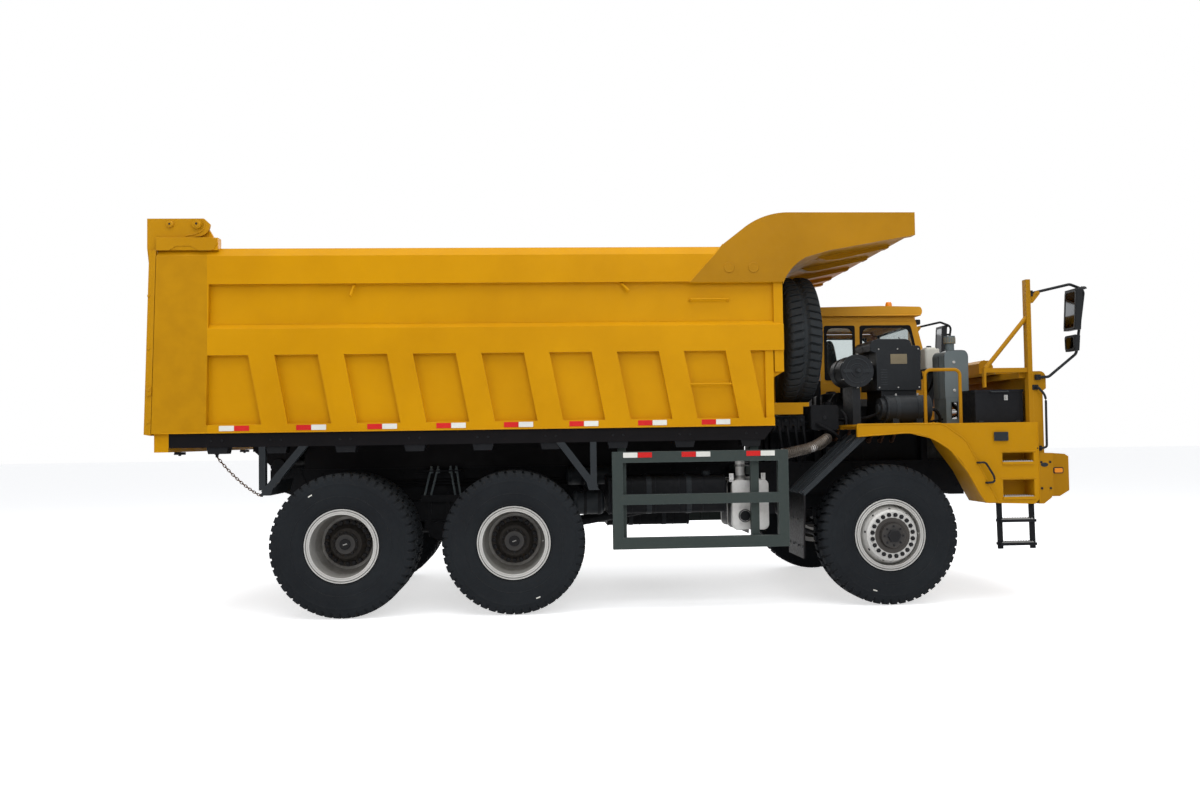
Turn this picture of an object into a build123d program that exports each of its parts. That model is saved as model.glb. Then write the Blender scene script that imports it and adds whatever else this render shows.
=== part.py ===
from build123d import *
import math
import os

# A six-wheel mining dump truck with a steel rock body and an offset half cab, as it is built:
# ladder frame, steered front axle, two driven axles on twin tyres, body tipped by two telescopic
# cylinders. Millimetres; +X forward, +Y to the left, +Z up, the ground at Z = 0.

# running gear
wheelbase = 3710.0          # front axle to mid axle
tandem_gap = 1640.0         # mid axle to rear axle
mid_x = -1130.0
front_x = mid_x + wheelbase
rear_x = mid_x - tandem_gap
balance_x = mid_x - tandem_gap / 2
tyre_radius = 695.0
tyre_width = 375.0
bead_radius = 318.0
flange_radius = 354.0
rim_width = 305.0           # between the flanges
flange_thick = 14.0
wheel_z = tyre_radius
output_z = wheel_z + 30.0     # height of the axles' input and output flanges
nose_reach = 430.0
outer_twin_y = 1483.0
twin_gap = 430.0            # middle to middle of a twin pair
inner_twin_y = outer_twin_y - twin_gap
front_wheel_y = 1440.0
kingpin_y = 1085.0
hub_radius = 225.0
spindle_radius = 61.0
running_gap = 0.3

# frame
rail_y = 450.0              # outer face of a rail
rail_width = 100.0
rail_bottom = 1050.0
rail_top = 1400.0
rail_wall = 14.0
frame_front = front_x + 1560.0
pivot_x = rear_x - 860.0    # tipping pivot
pivot_z = 1450.0
frame_rear = pivot_x - 120.0

# body
body_half = 1688.0          # outer face of the rails of a side
kerb_step = 12.0            # canopy plates stand this far proud of the rails
rail_depth = 56.0           # the rails' depth over the recessed panels
side_wall = 42.0
plate_half = body_half + kerb_step
panel_half = body_half - rail_depth
inner_half = panel_half - side_wall
floor_z = 1790.0
floor_thick = 40.0
body_top = 3560.0
body_tail = -4530.0         # rear edge at the floor
tail_lean = 50.0            # how much further forward the top of the rear edge is
post_front = -4010.0
body_nose = front_x - 1045.0  # front wall, clear of the spare wheel
nose_step = 105.0           # the front wall is set back by this below its step
nose_step_z = 2320.0
nose_wall = 60.0            # front wall below its step
canopy_foot = 3203.0        # where the canopy meets the front wall
canopy_reach = 1335.0       # canopy's tip from the front wall
canopy_top = canopy_foot + 682.0
canopy_heel = canopy_foot + 372.0  # where its upper edge leaves the body's top
rib_width = 245.0
rib_lean = 125.0
rib_count = 8
first_rib = -3630.0
rib_end = 580.0             # last rib's top corner from the nose
mid_rail = (2530.0, 2780.0)
top_rail = (body_top - 350.0, body_top - 80.0)
floor_lip = 78.0
rib_pitch = (body_nose - rib_end - first_rib) / (rib_count - 1)
runner_bottom = 1400.5      # body runners rest on the frame
cross_depth = 100.0         # floor cross-members
member_half = panel_half + 8.0
sill_depth = 135.0          # beams along both edges of the floor
sill_width = 60.0

# tailgate
gate_pivot_x = -4107.0
gate_pivot_z = body_top + 230.0
box_top = body_top + 95.0     # top of the hinge boxes
gate_gap = 6.0
gate_thick = 62.0
arm_nose = 118.0            # round end of an arm, clear of the hinge box below it

# hoist
hoist_y = 200.0             # each cylinder from the middle
hoist_base = (-650.0, 1000.0)
hoist_eye = (700.0, 1560.0)
barrel_radius = 95.0
stage_radius = 80.0
ram_radius = 62.0
slide_gap = 1.0
ear_gap = 0.3

# spare wheel, upright behind the cab
spare_x = front_x - 678.0
spare_y = -500.0
spare_z = 2725.0

engine_half = 300.0         # widest part of the engine's block

# front corners
corner_y = 1640.0           # outer face of the corner panels and the rail posts
rail_post = 1475.0          # front face of a post, from the front axle

# tow lugs on the bumper
tow_x = front_x + 1945.0
tow_y = 560.0
tow_z = 1130.0
tow_eye = 55.0
tow_bore = 26.0
tow_thick = 44.0

# cab
deck_z = 1790.0
fender_base = 990.0
cab_right = 20.0
cab_left = 1450.0
cab_rear = front_x - 210.0
cab_wall = 45.0
cab_top = 3055.0
door_gap = 8.0
hinge_x = front_x + 1002.0
hinge_y = cab_left + 20.0
hinge_heights = (1960.0, 2280.0)
glass_gap = 0.3


def outline(*path):
    # a straight step is its end point, an arc is (point passed, end point)
    edges = []
    here = path[0]
    for step in path[1:] + (path[0],):
        if isinstance(step[0], tuple):
            edges.append(ThreePointArc(here, step[0], step[1]))
            here = step[1]
        elif math.dist(here, step) > 0.001:
            edges.append(Line(here, step))
            here = step
    return make_face(edges)


def side_slab(face, y0, y1):
    return extrude(Plane.XZ.offset(-y1) * face, amount=y1 - y0)


def end_slab(face, x0, x1):
    return extrude(Plane.YZ.offset(x0) * face, amount=x1 - x0)


def flat_slab(face, z0, z1):
    return extrude(Plane.XY.offset(z0) * face, amount=z1 - z0)


def block(x0, x1, y0, y1, z0, z1):
    return Pos((x0 + x1) / 2, (y0 + y1) / 2, (z0 + z1) / 2) * Box(x1 - x0, y1 - y0, z1 - z0)


def rod(start, end, radius):
    start, end = Vector(*start), Vector(*end)
    length = (end - start).length
    return Plane(origin=start, z_dir=end - start) * (Pos(0, 0, length / 2) * Cylinder(radius, length))


def pipe(points, radius, bend):
    path = FilletPolyline(*points, radius=bend)
    return sweep(Plane(origin=path @ 0, z_dir=path % 0) * Circle(radius), path=path)


def both_sides(shape):
    return shape + mirror(shape, about=Plane.XZ)


def turned_about_y(face, x, z):
    # face holds (radius, y) pairs, spun about an axle along Y at x, z
    plane = Plane(origin=(x, 0, z), x_dir=(1, 0, 0), z_dir=(0, 0, 1))
    return revolve(plane * face, axis=Axis((x, 0, z), (0, 1, 0)))


# ---------------------------------------------------------------- wheels
def tyre_face(middle):
    half = tyre_width / 2
    inner = rim_width / 2
    return outline(
        (bead_radius, middle - inner), (flange_radius, middle - inner),
        ((510, middle - half), (640, middle - half + 12)),
        (tyre_radius - 8, middle - half + 38), (tyre_radius, middle - half + 70),
        (tyre_radius, middle + half - 70), (tyre_radius - 8, middle + half - 38),
        (640, middle + half - 12),
        ((510, middle + half), (flange_radius, middle + inner)),
        (bead_radius, middle + inner))


def rim_face(middle, wall=16.0):
    inner = rim_width / 2
    outer = inner + flange_thick
    return outline(
        (bead_radius - wall, middle - outer), (flange_radius, middle - outer),
        (flange_radius, middle - inner), (bead_radius, middle - inner),
        (bead_radius, middle + inner), (flange_radius, middle + inner),
        (flange_radius, middle + outer), (bead_radius - wall, middle + outer))


def disc_face(rim_y, seat_y, side, thick=22.0):
    # a dish from the rim's well to the bolting face of the hub
    outer = bead_radius - 16.0
    y0 = rim_y
    y1 = seat_y
    t = thick * side
    return outline(
        (outer, y0), (hub_radius + 45, y1), (110, y1), (110, y1 + t), (hub_radius + 35, y1 + t),
        (outer, y0 + t))


def rear_tyres(x, side):
    tyres = [turned_about_y(tyre_face(side * y), x, wheel_z) for y in (outer_twin_y, inner_twin_y)]
    return tyres[0] + tyres[1]


def rear_rims(x, side):
    seat = side * (outer_twin_y + inner_twin_y) / 2
    shape = None
    for middle, facing in ((outer_twin_y, side), (inner_twin_y, -side)):
        rim = turned_about_y(rim_face(side * middle), x, wheel_z)
        foot = side * middle - facing * 60
        disc = turned_about_y(disc_face(foot, seat, facing), x, wheel_z)
        piece = rim + disc
        shape = piece if shape is None else shape + piece
    return shape


def rear_hub(x, side):
    # planetary hub: drum behind the discs, flange, turned nose and cap
    seat = side * (outer_twin_y + inner_twin_y) / 2
    y = lambda value: seat + side * value
    bore = spindle_radius + running_gap
    face = outline(
        (bore, y(-380)), (210, y(-380)), (210, y(-60)), (109, y(-60)), (109, y(22)),
        (hub_radius, y(22)), (hub_radius, y(46)), (190, y(60)), (150, y(130)), (120, y(150)),
        (95, y(190)), (0, y(196)), (0, y(60)), (bore, y(60)))
    return turned_about_y(face, x, wheel_z)


def front_tyre(side):
    return turned_about_y(tyre_face(side * front_wheel_y), front_x, wheel_z)


def front_rim(side):
    # the disc stands out of the rim towards the hub's face
    y = lambda value: side * (front_wheel_y + value)
    rim = turned_about_y(rim_face(side * front_wheel_y), front_x, wheel_z)
    dish = outline(
        (bead_radius - 16, y(70)), (270, y(150)), (250, y(205)), (225, y(225)), (130, y(225)),
        (130, y(203)), (220, y(203)), (228, y(190)), (248, y(135)), (bead_radius - 16, y(40)))
    return rim + turned_about_y(dish, front_x, wheel_z)


def front_hub(side):
    y = lambda value: side * (front_wheel_y + value)
    bore = spindle_radius + running_gap
    face = outline(
        (bore, y(-215)), (235, y(-215)), (235, y(-60)), (175, y(-40)), (175, y(203)),
        (129, y(203)), (129, y(236)), (118, y(262)), (62, y(270)), (0, y(272)), (0, y(120)), (bore, y(120)))
    return turned_about_y(face, front_x, wheel_z)


# ---------------------------------------------------------------- frame and axles
def chassis_frame():
    channel = outline(
        (rail_y - rail_width, rail_bottom), (rail_y, rail_bottom), (rail_y, rail_top),
        (rail_y - rail_width, rail_top), (rail_y - rail_width, rail_top - rail_wall),
        (rail_y - rail_wall, rail_top - rail_wall), (rail_y - rail_wall, rail_bottom + rail_wall),
        (rail_y - rail_width, rail_bottom + rail_wall))
    rail = end_slab(channel, frame_rear, frame_front)
    cut = outline((frame_rear - 1, rail_bottom - 1), (frame_rear + 420, rail_bottom - 1),
                  (frame_rear - 1, rail_bottom + 170))
    rail -= side_slab(cut, rail_y - rail_width - 1, rail_y + 1)
    shape = both_sides(rail)
    web = rail_y - rail_wall
    for x in (balance_x - 350, balance_x + 350, hoist_eye[0] - 330, front_x - 1650, front_x + 1380):
        tube = rod((x, -web - 2, 1225), (x, web + 2, 1225), 65)
        shape += tube
    # end plates of the tipping pivot, its cross tube and pins
    cheek = outline((pivot_x - 100, rail_bottom + 190), (pivot_x + 260, rail_bottom + 190),
                    (pivot_x + 200, rail_top), (pivot_x + 95, pivot_z),
                    ((pivot_x, pivot_z + 95), (pivot_x - 95, pivot_z)))
    shape += both_sides(side_slab(cheek, web - 4, rail_y + 8))
    shape += rod((pivot_x, -rail_y, pivot_z), (pivot_x, rail_y, pivot_z), 70)
    shape += rod((pivot_x, -590, pivot_z), (pivot_x, 590, pivot_z), 45)
    for side in (-1, 1):
        shape += rod((pivot_x, side * 560, pivot_z), (pivot_x, side * 592, pivot_z), 68)
    # hangers and shaft that carry the feet of the hoist cylinders
    hx, hz = hoist_base
    hanger = outline((hx - 170, rail_bottom + 100), (hx - 80, hz - 20), ((hx, hz - 90), (hx + 80, hz - 20)),
                     (hx + 170, rail_bottom + 100))
    shape += both_sides(side_slab(hanger, rail_y - rail_width - 20, rail_y - rail_width))
    above = outline((hx - 200, rail_bottom), (hx + 200, rail_bottom), (hx + 200, rail_top),
                    (hx - 200, rail_top))
    shape += both_sides(side_slab(hanger & above, rail_y - rail_width - 1, web + 2))
    shape += rod((hx, -rail_y + rail_width, hz), (hx, rail_y - rail_width, hz), 55)
    # tow pin jaw under the bumper
    jaw = block(frame_front - 60, frame_front, -rail_y, rail_y, 1090, 1330)
    return shape + jaw


def leaf_stack(x, z, half, leaves, thick, shrink, up):
    # leaves of one pack, each shorter than the one before
    points = []
    for i in range(leaves):
        reach = half - shrink * i
        points += [(x + reach, z + up * thick * i), (x + reach, z + up * thick * (i + 1))]
    left = [(2 * x - px, pz) for px, pz in reversed(points)]
    return outline(*points, *left)


def rear_springs():
    y0, y1 = 480.0, 590.0
    pack = side_slab(leaf_stack(balance_x, 842, 830, 11, 20, 62, 1), y0, y1)
    for dx in (-95, 95):
        pack += side_slab(outline((balance_x + dx - 16, 700), (balance_x + dx + 16, 700),
                                  (balance_x + dx + 16, 1130), (balance_x + dx - 16, 1130)), y0 - 20, y0)
        pack += side_slab(outline((balance_x + dx - 16, 700), (balance_x + dx + 16, 700),
                                  (balance_x + dx + 16, 1130), (balance_x + dx - 16, 1130)), y1, y1 + 20)
    pack += block(balance_x - 130, balance_x + 130, y0 - 20, y1 + 20, 1062, 1100)
    pack += block(balance_x - 150, balance_x + 150, y0 - 20, y1 + 20, 762, 842)
    pack += rod((balance_x, rail_y + 2, 740), (balance_x, y1 + 60, 740), 92)
    bracket = outline((balance_x - 260, 1340), (balance_x - 110, 700),
                      ((balance_x, 620), (balance_x + 110, 700)),
                      (balance_x + 260, 1340))
    pack += side_slab(bracket, rail_y, rail_y + 26)
    return both_sides(pack)


def drive_axles():
    shape = None
    for x in (mid_x, rear_x):
        tube = rod((x, -880, wheel_z), (x, 880, wheel_z), 105)
        tube += rod((x, -1315, wheel_z), (x, 1315, wheel_z), spindle_radius)
        banjo = outline((0, -330), (130, -330), (230, -200), ((285, 0), (230, 200)), (130, 330), (0, 330))
        bowl = turned_about_y(banjo, x, wheel_z)
        nose = rod((x, 0, output_z), (x + nose_reach, 0, output_z), 120)
        seats = both_sides(block(x - 90, x + 90, 475, 595, wheel_z + 60, 841.5))
        axle = tube + bowl + nose + seats
        if x == mid_x:
            axle += rod((x - 340, 0, output_z), (x, 0, output_z), 85)
        shape = axle if shape is None else shape + axle
    return shape


def drive_shafts():
    # a flange at each end, then the tube between them
    shape = None
    for start, end in (((rear_x + nose_reach, output_z), (mid_x - 340, output_z)),
                       ((mid_x + nose_reach, output_z), (front_x - 1500, 1010))):
        shaft = rod((start[0], 0, start[1]), (start[0] + 22, 0, start[1]), 90)
        shaft += rod((end[0] - 22, 0, end[1]), (end[0], 0, end[1]), 90)
        shaft += rod((start[0] + 12, 0, start[1]), (end[0] - 12, 0, end[1]), 58)
        shape = shaft if shape is None else shape + shaft
    return shape


def front_axle():
    y1 = kingpin_y - 75
    beam = outline((-y1, 690), (-700, 600), (-560, 575), (560, 575), (700, 600), (y1, 690), (y1, 800),
                   (680, 730), (540, 705), (-540, 705), (-680, 730), (-y1, 800))
    shape = end_slab(beam, front_x - 80, front_x + 80)
    web = outline((-y1 + 60, 722), (-690, 632), (-550, 607), (550, 607), (690, 632), (y1 - 60, 722),
                  (y1 - 60, 760), (670, 698), (530, 673), (-530, 673), (-670, 698), (-y1 + 60, 760))
    shape -= end_slab(web, front_x + 25, front_x + 81)
    shape -= end_slab(web, front_x - 81, front_x - 25)
    for side in (-1, 1):
        shape += rod((front_x, side * kingpin_y, 640), (front_x, side * kingpin_y, 800), 78)
        shape += rod((front_x, side * kingpin_y, 560), (front_x, side * kingpin_y, 880), 30)
    return shape


def front_springs():
    y0, y1 = 370.0, 470.0
    pack = side_slab(leaf_stack(front_x, 880, 820, 8, 20, 88, -1), y0, y1)
    for dx in (-97, 97):
        for y in (y0 - 17, y1 + 17):
            pack += rod((front_x + dx, y, 560), (front_x + dx, y, 905), 15)
    pack += block(front_x - 120, front_x + 120, y0 - 34, y1 + 34, 705, 722)
    pack += block(front_x - 120, front_x + 120, y0 - 34, y1 + 34, 880, 905)
    for dx in (-820, 820):
        hanger = outline((front_x + dx - 90, rail_bottom), (front_x + dx - 45, 850),
                         ((front_x + dx, 815), (front_x + dx + 45, 850)), (front_x + dx + 90, rail_bottom))
        pack += side_slab(hanger, y0 + 8, y1 - 8)
    return both_sides(pack)


def knuckle(side):
    # a fork over the beam's kingpin boss, stub axle outwards and steering arm
    k = side * kingpin_y
    shape = None
    for z0, z1 in ((806, 862), (578, 634)):
        eye = rod((front_x, k, z0), (front_x, k, z1), 78)
        arm = block(front_x - 70, front_x + 70, min(k, k + side * 96), max(k, k + side * 96), z0, z1)
        shape = eye + arm if shape is None else shape + eye + arm
    plate = block(front_x - 80, front_x + 80, min(k + side * 84, k + side * 120),
                  max(k + side * 84, k + side * 120), 578, 862)
    shape += plate
    shape += rod((front_x, k + side * 118, wheel_z),
                 (front_x, side * (front_wheel_y + 110), wheel_z), spindle_radius)
    ball_x, ball_y = front_x - 260, side * (kingpin_y - 70)
    reach = outline((front_x - 40, k + side * 70), (front_x + 40, k + side * 70),
                    (front_x + 10, k - side * 20),
                    (ball_x + 45, ball_y - side * 35), (ball_x - 45, ball_y - side * 20),
                    (ball_x - 30, ball_y + side * 40))
    shape += flat_slab(reach, 580, 610)
    shape -= rod((front_x, k, 500), (front_x, k, 900), 30 + running_gap)
    return shape


def tie_rod():
    ball_x, ball_y = front_x - 260, kingpin_y - 70
    shape = rod((ball_x, -ball_y + 20, 545), (ball_x, ball_y - 20, 545), 28)
    for side in (-1, 1):
        shape += rod((ball_x, side * ball_y, 512), (ball_x, side * ball_y, 579.7), 36)
    return shape


# ---------------------------------------------------------------- front end
def engine_block():
    low = outline((-240, 820), (240, 820), (engine_half, 1000), (engine_half, 1740), (-engine_half, 1740),
                  (-engine_half, 1000))
    shape = end_slab(low, front_x - 1050, front_x + 850)
    top = outline((-560, 1740), (-60, 1740), (-60, 2000), (-160, 2080), (-480, 2080), (-560, 2000))
    shape += end_slab(top, front_x - 250, front_x + 700)
    shape += end_slab(outline((-170, 860), (170, 860), (210, 1100), (170, 1330), (-170, 1330),
                              (-210, 1100)),
                      front_x - 1500, front_x - 1050)
    for x in (front_x - 900, front_x + 600):
        shape += block(x, x + 120, -rail_y + rail_wall, rail_y - rail_wall, 1190, 1270)
    return shape


def radiator():
    core = outline((-340, 1010), (340, 1010), (340, rail_top), (560, rail_top), (560, 1738), (-560, 1738),
                   (-560, rail_top), (-340, rail_top))
    return end_slab(core, front_x + 1130, front_x + 1290)


def air_intake():
    # round air cleaner, intake box with its lid, and the duct between them
    x, z = front_x - 180, 2345.0
    can = rod((x, -1230, z), (x, -800, z), 160)
    can += rod((x, -1252, z), (x, -1230, z), 168)
    can += rod((x, -1265, z), (x, -1252, z), 60)
    duct = rod((x + 100, -950, z), (front_x + 61, -950, z), 85)
    box_x0, box_x1 = front_x + 60, front_x + 522
    box = outline((box_x0, 2150), (box_x1, 2150), (box_x1, 2590), (box_x1 - 20, 2606), (box_x0 + 370, 2606),
                  ((box_x0 + 355, 2652), (box_x0 + 310, 2676)), (box_x0, 2676),
                  ((box_x0 - 48, 2656), (box_x0 - 64, 2610)), (box_x0 - 64, 2560), (box_x0, 2540))
    box = side_slab(box, -1150, -620)
    feet = block(x - 40, x + 40, -1200, -860, deck_z, z - 140)
    feet += block(box_x0 + 50, box_x1 - 40, -1120, -650, deck_z, 2151)
    return can + duct + box + feet


def air_drum():
    # lies along the right edge of the deck behind the hand rail
    y, z, radius = -1300.0, 1946.0, 140.0
    x0, x1 = front_x + 21, front_x + 525
    shape = rod((x0 + 45, y, z), (x1, y, z), radius)
    shape += rod((x0, y, z), (x0 + 45, y, z), radius - 30)
    for x in (x0 + 110, x1 - 150):
        shape += block(x, x + 60, y - 100, y + 100, deck_z, z)
    return shape


def expansion_tank():
    # pressed tank with filler neck and cap, on a slotted stand
    x0, x1 = front_x + 765, front_x + 1015
    y0, y1, foot = -1180.0, -860.0, 2055.0
    tank = outline((x0, foot), (x1, foot), (x1, 2490), ((x1 - 15, 2535), (x1 - 60, 2552)), (x0 + 60, 2552),
                   ((x0 + 15, 2535), (x0, 2490)))
    shape = side_slab(tank, y0, y1)
    neck = x0 + 133
    for z0, z1, radius in ((2551, 2640, 46), (2640, 2718, 57)):
        shape += rod((neck, -1000, z0), (neck, -1000, z1), radius)
    wall = 10
    stand = block(x0 + 7, x1 + 55, y0, y1, deck_z, foot)
    stand -= block(x0 + 7 + wall, x1 + 55 - wall, y0 + wall, y1 - wall, deck_z - 1, foot - wall)
    for a, b in ((60, 132), (196, 249)):
        stand -= block(x0 + a, x0 + b, y0 - 1, y1 + 1, deck_z + 48, foot - 40)
    return shape + stand


def battery_box():
    x0, x1, lid = front_x + 930, front_x + 1418, 2100.0
    shape = block(x0, x1, -1530, -1200, deck_z, lid)
    shape += block(x0 - 8, x1 + 8, -1538, -1192, lid, lid + 22)
    return shape


def fender():
    # right front fender with the boarding steps, one pressed and welded piece
    fx = front_x
    band = outline(
        (fx - 325, 1667), (fx + 180, 1700), ((fx + 420, 1640), (fx + 606, 1524)), (fx + 782, 1294),
        (fx + 898, 1075), (fx + 956, 995), (fx + 1460, 978), (fx + 1505, 1030), (fx + 1505, 1790),
        (fx - 325, 1790))
    skin = side_slab(band, -1650, -1625)
    top = block(fx - 325, fx + 1505, -1626, -1150, 1772, 1790)
    inside = side_slab(outline((fx + 532, 1773), (fx + 661, 1540), (fx + 830, 1310), (fx + 950, 1080),
                               (fx + 1000, fender_base), (fx + 1475, fender_base), (fx + 1500, 1040),
                               (fx + 1500, 1773)), -1626, -1150)
    shape = skin + top + inside
    rib = outline((fx + 532, 1790), (fx + 761, 1621), (fx + 876, 1401), (fx + 1078, 1002), (fx + 956, 995),
                  (fx + 898, 1075), (fx + 782, 1294), ((fx + 606, 1524),
                                                       (fx + 420, 1640)), (fx + 180, 1700),
                  (fx - 325, 1667), (fx - 325, 1790))
    shape += side_slab(rib, -1668, -1649)
    for z0, z1 in ((1052, 1221), (1398, 1489)):
        shape -= block(fx + 1135, fx + 1455, -1700, -1440, z0, z1)
        shape += block(fx + 1130, fx + 1460, -1664, -1430, z0 - 26, z0)
    return shape


def front_bumper():
    fx = front_x
    side = outline((fx + 1505, 978), (fx + 1550, 978), (fx + 1625, 1034), (fx + 1646, 1070),
                   (fx + 1646, 1480), (fx + 1505, 1480))
    wing = side_slab(side, -1650, -1180)
    shape = both_sides(wing)
    nose = outline((fx + 1695, 1040), (fx + 1790, 1040), (fx + 1890, 1098), (fx + 1890, 1440),
                   (fx + 1850, 1466), (fx + 1695, 1478))
    shape += side_slab(nose, -1500, 1500)
    shape += block(fx + 1645, fx + 1696, -1440, 1440, 1080, 1450)
    shape += block(fx + 1560, fx + 1646, -1181, 1181, 1150, 1480)
    for y in (-tow_y, tow_y):
        lug = outline((fx + 1880, 1060), (tow_x, tow_z - tow_eye),
                      ((tow_x + tow_eye, tow_z), (tow_x, tow_z + tow_eye)),
                      (fx + 1880, 1200))
        shape += side_slab(lug, y - tow_thick / 2, y + tow_thick / 2)
        shape -= rod((tow_x, y - tow_thick, tow_z), (tow_x, y + tow_thick, tow_z), tow_bore)
    return shape


def front_cowl():
    # grille panel between the fenders, with slots
    face = outline((-1150, 1480), (1150, 1480), (1150, 2230), ((1120, 2300), (1050, 2330)), (-1050, 2330),
                   ((-1120, 2300), (-1150, 2230)))
    shape = end_slab(face, front_x + 1505, front_x + 1575)
    for i in range(7):
        z = 1560 + 92 * i
        shape -= block(front_x + 1500, front_x + 1600, -620, -20, z, z + 48)
        shape -= block(front_x + 1500, front_x + 1600, 20, 620, z, z + 48)
    shape += block(front_x + 1320, front_x + 1506, -1150, 1150, 2300, 2330)
    # corner panels, standing in front of the rail posts
    fx = front_x
    corner = outline((fx + 1505, 1480), (fx + 1570, 1480), (fx + 1570, 2100), (fx + 1606, 2125),
                     (fx + 1606, 2230), ((fx + 1588, 2280), (fx + 1540, 2298)), (fx + rail_post, 2298),
                     (fx + rail_post, deck_z), (fx + 1505, deck_z))
    return shape + both_sides(side_slab(corner, 1150, corner_y))


def front_deck():
    shape = block(front_x - 325, front_x + 1505, -1150, 1150, 1745, deck_z)
    shape -= block(front_x - 250, front_x + 760, -600, -10, 1700, deck_z + 10)
    for x in (front_x - 320, front_x + 770, front_x + 1400):
        for y in (-rail_y, rail_y - 80):
            shape += block(x, x + 70, y, y + 80, rail_top, 1746)
    return shape


def front_rails():
    # posts on the front corners with their braces, the beam between them and the hand hoop
    x0 = front_x + rail_post - 45
    post = block(x0, front_x + rail_post, -corner_y, -1560, deck_z, 3220)
    brace = rod((x0 + 10, -1600, 2840), (front_x + 1010, -1600, 2330), 22)
    tie = block(front_x + 985, x0 + 1, -1625, -1575, 2290, 2335)
    foot = block(front_x + 985, front_x + 1005, -1625, -1575, 2143, 2291)
    side = post + brace + tie + foot
    beam = block(x0 - 60, x0 + 20, -1561, 1561, 2235, 2295)
    return both_sides(side) + beam + hand_hoop()


def mirrors():
    # two heads on a bent arm that runs from the post's head to the corner panel
    x0 = front_x + rail_post
    arm_y = -corner_y - 17
    loop = pipe([(x0 + 8, -1600, 3080), (x0 + 400, -1650, 3166), (x0 + 545, -1650, 3110),
                 (x0 + 447, -1650, 2469), (x0 + 152, arm_y, 2238), (x0 + 40, arm_y, 2236)], 14, 60)
    side = loop + block(x0, x0 + 30, -1630, -1570, 3050, 3110)
    side += block(x0 + 15, x0 + 65, arm_y - 17, -corner_y, 2210, 2262)
    side += side_slab(outline((x0 + 372, 2700), (x0 + 429, 2700), (x0 + 457, 3090), (x0 + 397, 3110)),
                      -1790, -1560)
    side += side_slab(outline((x0 + 375, 2490), (x0 + 417, 2490), (x0 + 429, 2640), (x0 + 379, 2650)),
                      -1770, -1580)
    for z, x1 in ((2560, 462), (2790, 498), (3000, 530)):
        side += block(x0 + 410, x0 + x1, -1660, -1640, z - 12, z + 12)
    return both_sides(side)


def hand_hoop():
    hoop_x0, hoop_x1 = front_x + 420, front_x + 780
    hoop = pipe([(hoop_x0, -1520, deck_z), (hoop_x0, -1520, 2330), (hoop_x1, -1520, 2330),
                 (hoop_x1, -1520, deck_z)], 17, 60)
    return hoop


def headlamps():
    shape = None
    for side in (-1, 1):
        for y in (900, 1080):
            lamp = rod((front_x + 1890.3, side * y, 1270), (front_x + 1912, side * y, 1270), 78)
            shape = lamp if shape is None else shape + lamp
    return shape


# ---------------------------------------------------------------- cab
def cab_profile(inset=0.0):
    return outline(
        (cab_rear + inset, deck_z + inset), (cab_rear + inset, cab_top - inset),
        (front_x + 910 - inset, cab_top - inset), (front_x + 1070 - inset, 2400),
        (front_x + 1120 - inset, deck_z + inset))


def door_profile(gap=0.0):
    return outline(
        (front_x + 120 - gap, 1850 - gap), (front_x + 985 + gap, 1850 - gap), (front_x + 985 + gap, 2400),
        (front_x + 850 + gap, 2985 + gap), (front_x + 120 - gap, 2985 + gap))


def window_profile(x0, x1, x2, gap=0.0, z0=2330.0, z1=2940.0):
    return outline((x0 + gap, z0 + gap), (x1 - gap, z0 + gap), (x2 - gap, z1 - gap), (x0 + gap, z1 - gap))


def cab_shell():
    shape = side_slab(cab_profile(), cab_right, cab_left)
    shape -= side_slab(cab_profile(cab_wall), cab_right + cab_wall, cab_left - cab_wall)
    fx = front_x
    right = ((fx - 150, fx + 190, fx + 190), (fx + 270, fx + 985, fx + 850))
    for x0, x1, x2 in right:
        shape -= side_slab(window_profile(x0, x1, x2), cab_right - 1, cab_right + cab_wall + 1)
    shape -= side_slab(door_profile(door_gap), cab_left - cab_wall - 1, cab_left + 1)
    shape -= side_slab(window_profile(fx - 150, fx + 60, fx + 60), cab_left - cab_wall - 1, cab_left + 1)
    screen = outline((cab_right + 90, 2400), (cab_left - 90, 2400), (cab_left - 90, 2960),
                     (cab_right + 90, 2960))
    shape -= end_slab(screen, fx + 820, fx + 1100)
    shape -= end_slab(outline((cab_right + 120, 2350), (cab_left - 120, 2350), (cab_left - 120, 2900),
                              (cab_right + 120, 2900)), cab_rear - 1, cab_rear + cab_wall + 1)
    return shape + door_hinges()


def cab_roof():
    face = outline((cab_rear - 60, cab_top), (front_x + 960, cab_top),
                   ((front_x + 985, 3100), (front_x + 960, 3160)),
                   (front_x + 500, 3172), (cab_rear - 30, 3160), (cab_rear - 60, 3130))
    return side_slab(face, cab_right - 50, cab_left + 50)


def cab_glass():
    fx = front_x
    g = glass_gap
    y = cab_right + 18
    shape = side_slab(window_profile(fx - 150, fx + 190, fx + 190, g), y, y + 6)
    shape += side_slab(window_profile(fx + 270, fx + 985, fx + 850, g), y, y + 6)
    y = cab_left - 24
    shape += side_slab(window_profile(fx - 150, fx + 60, fx + 60, g), y, y + 6)
    # windscreen along the slanted pillars
    lower, upper = (fx + 1046, 2400 + g), (fx + 910.5, 2960 - g)
    pane = outline(lower, (lower[0] + 6, lower[1]), (upper[0] + 6, upper[1]), upper)
    shape += side_slab(pane, cab_right + 90 + g, cab_left - 90 - g)
    back = outline((cab_right + 120 + g, 2350 + g), (cab_left - 120 - g, 2350 + g),
                   (cab_left - 120 - g, 2900 - g), (cab_right + 120 + g, 2900 - g))
    return shape + end_slab(back, cab_rear + 18, cab_rear + 24)


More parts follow.
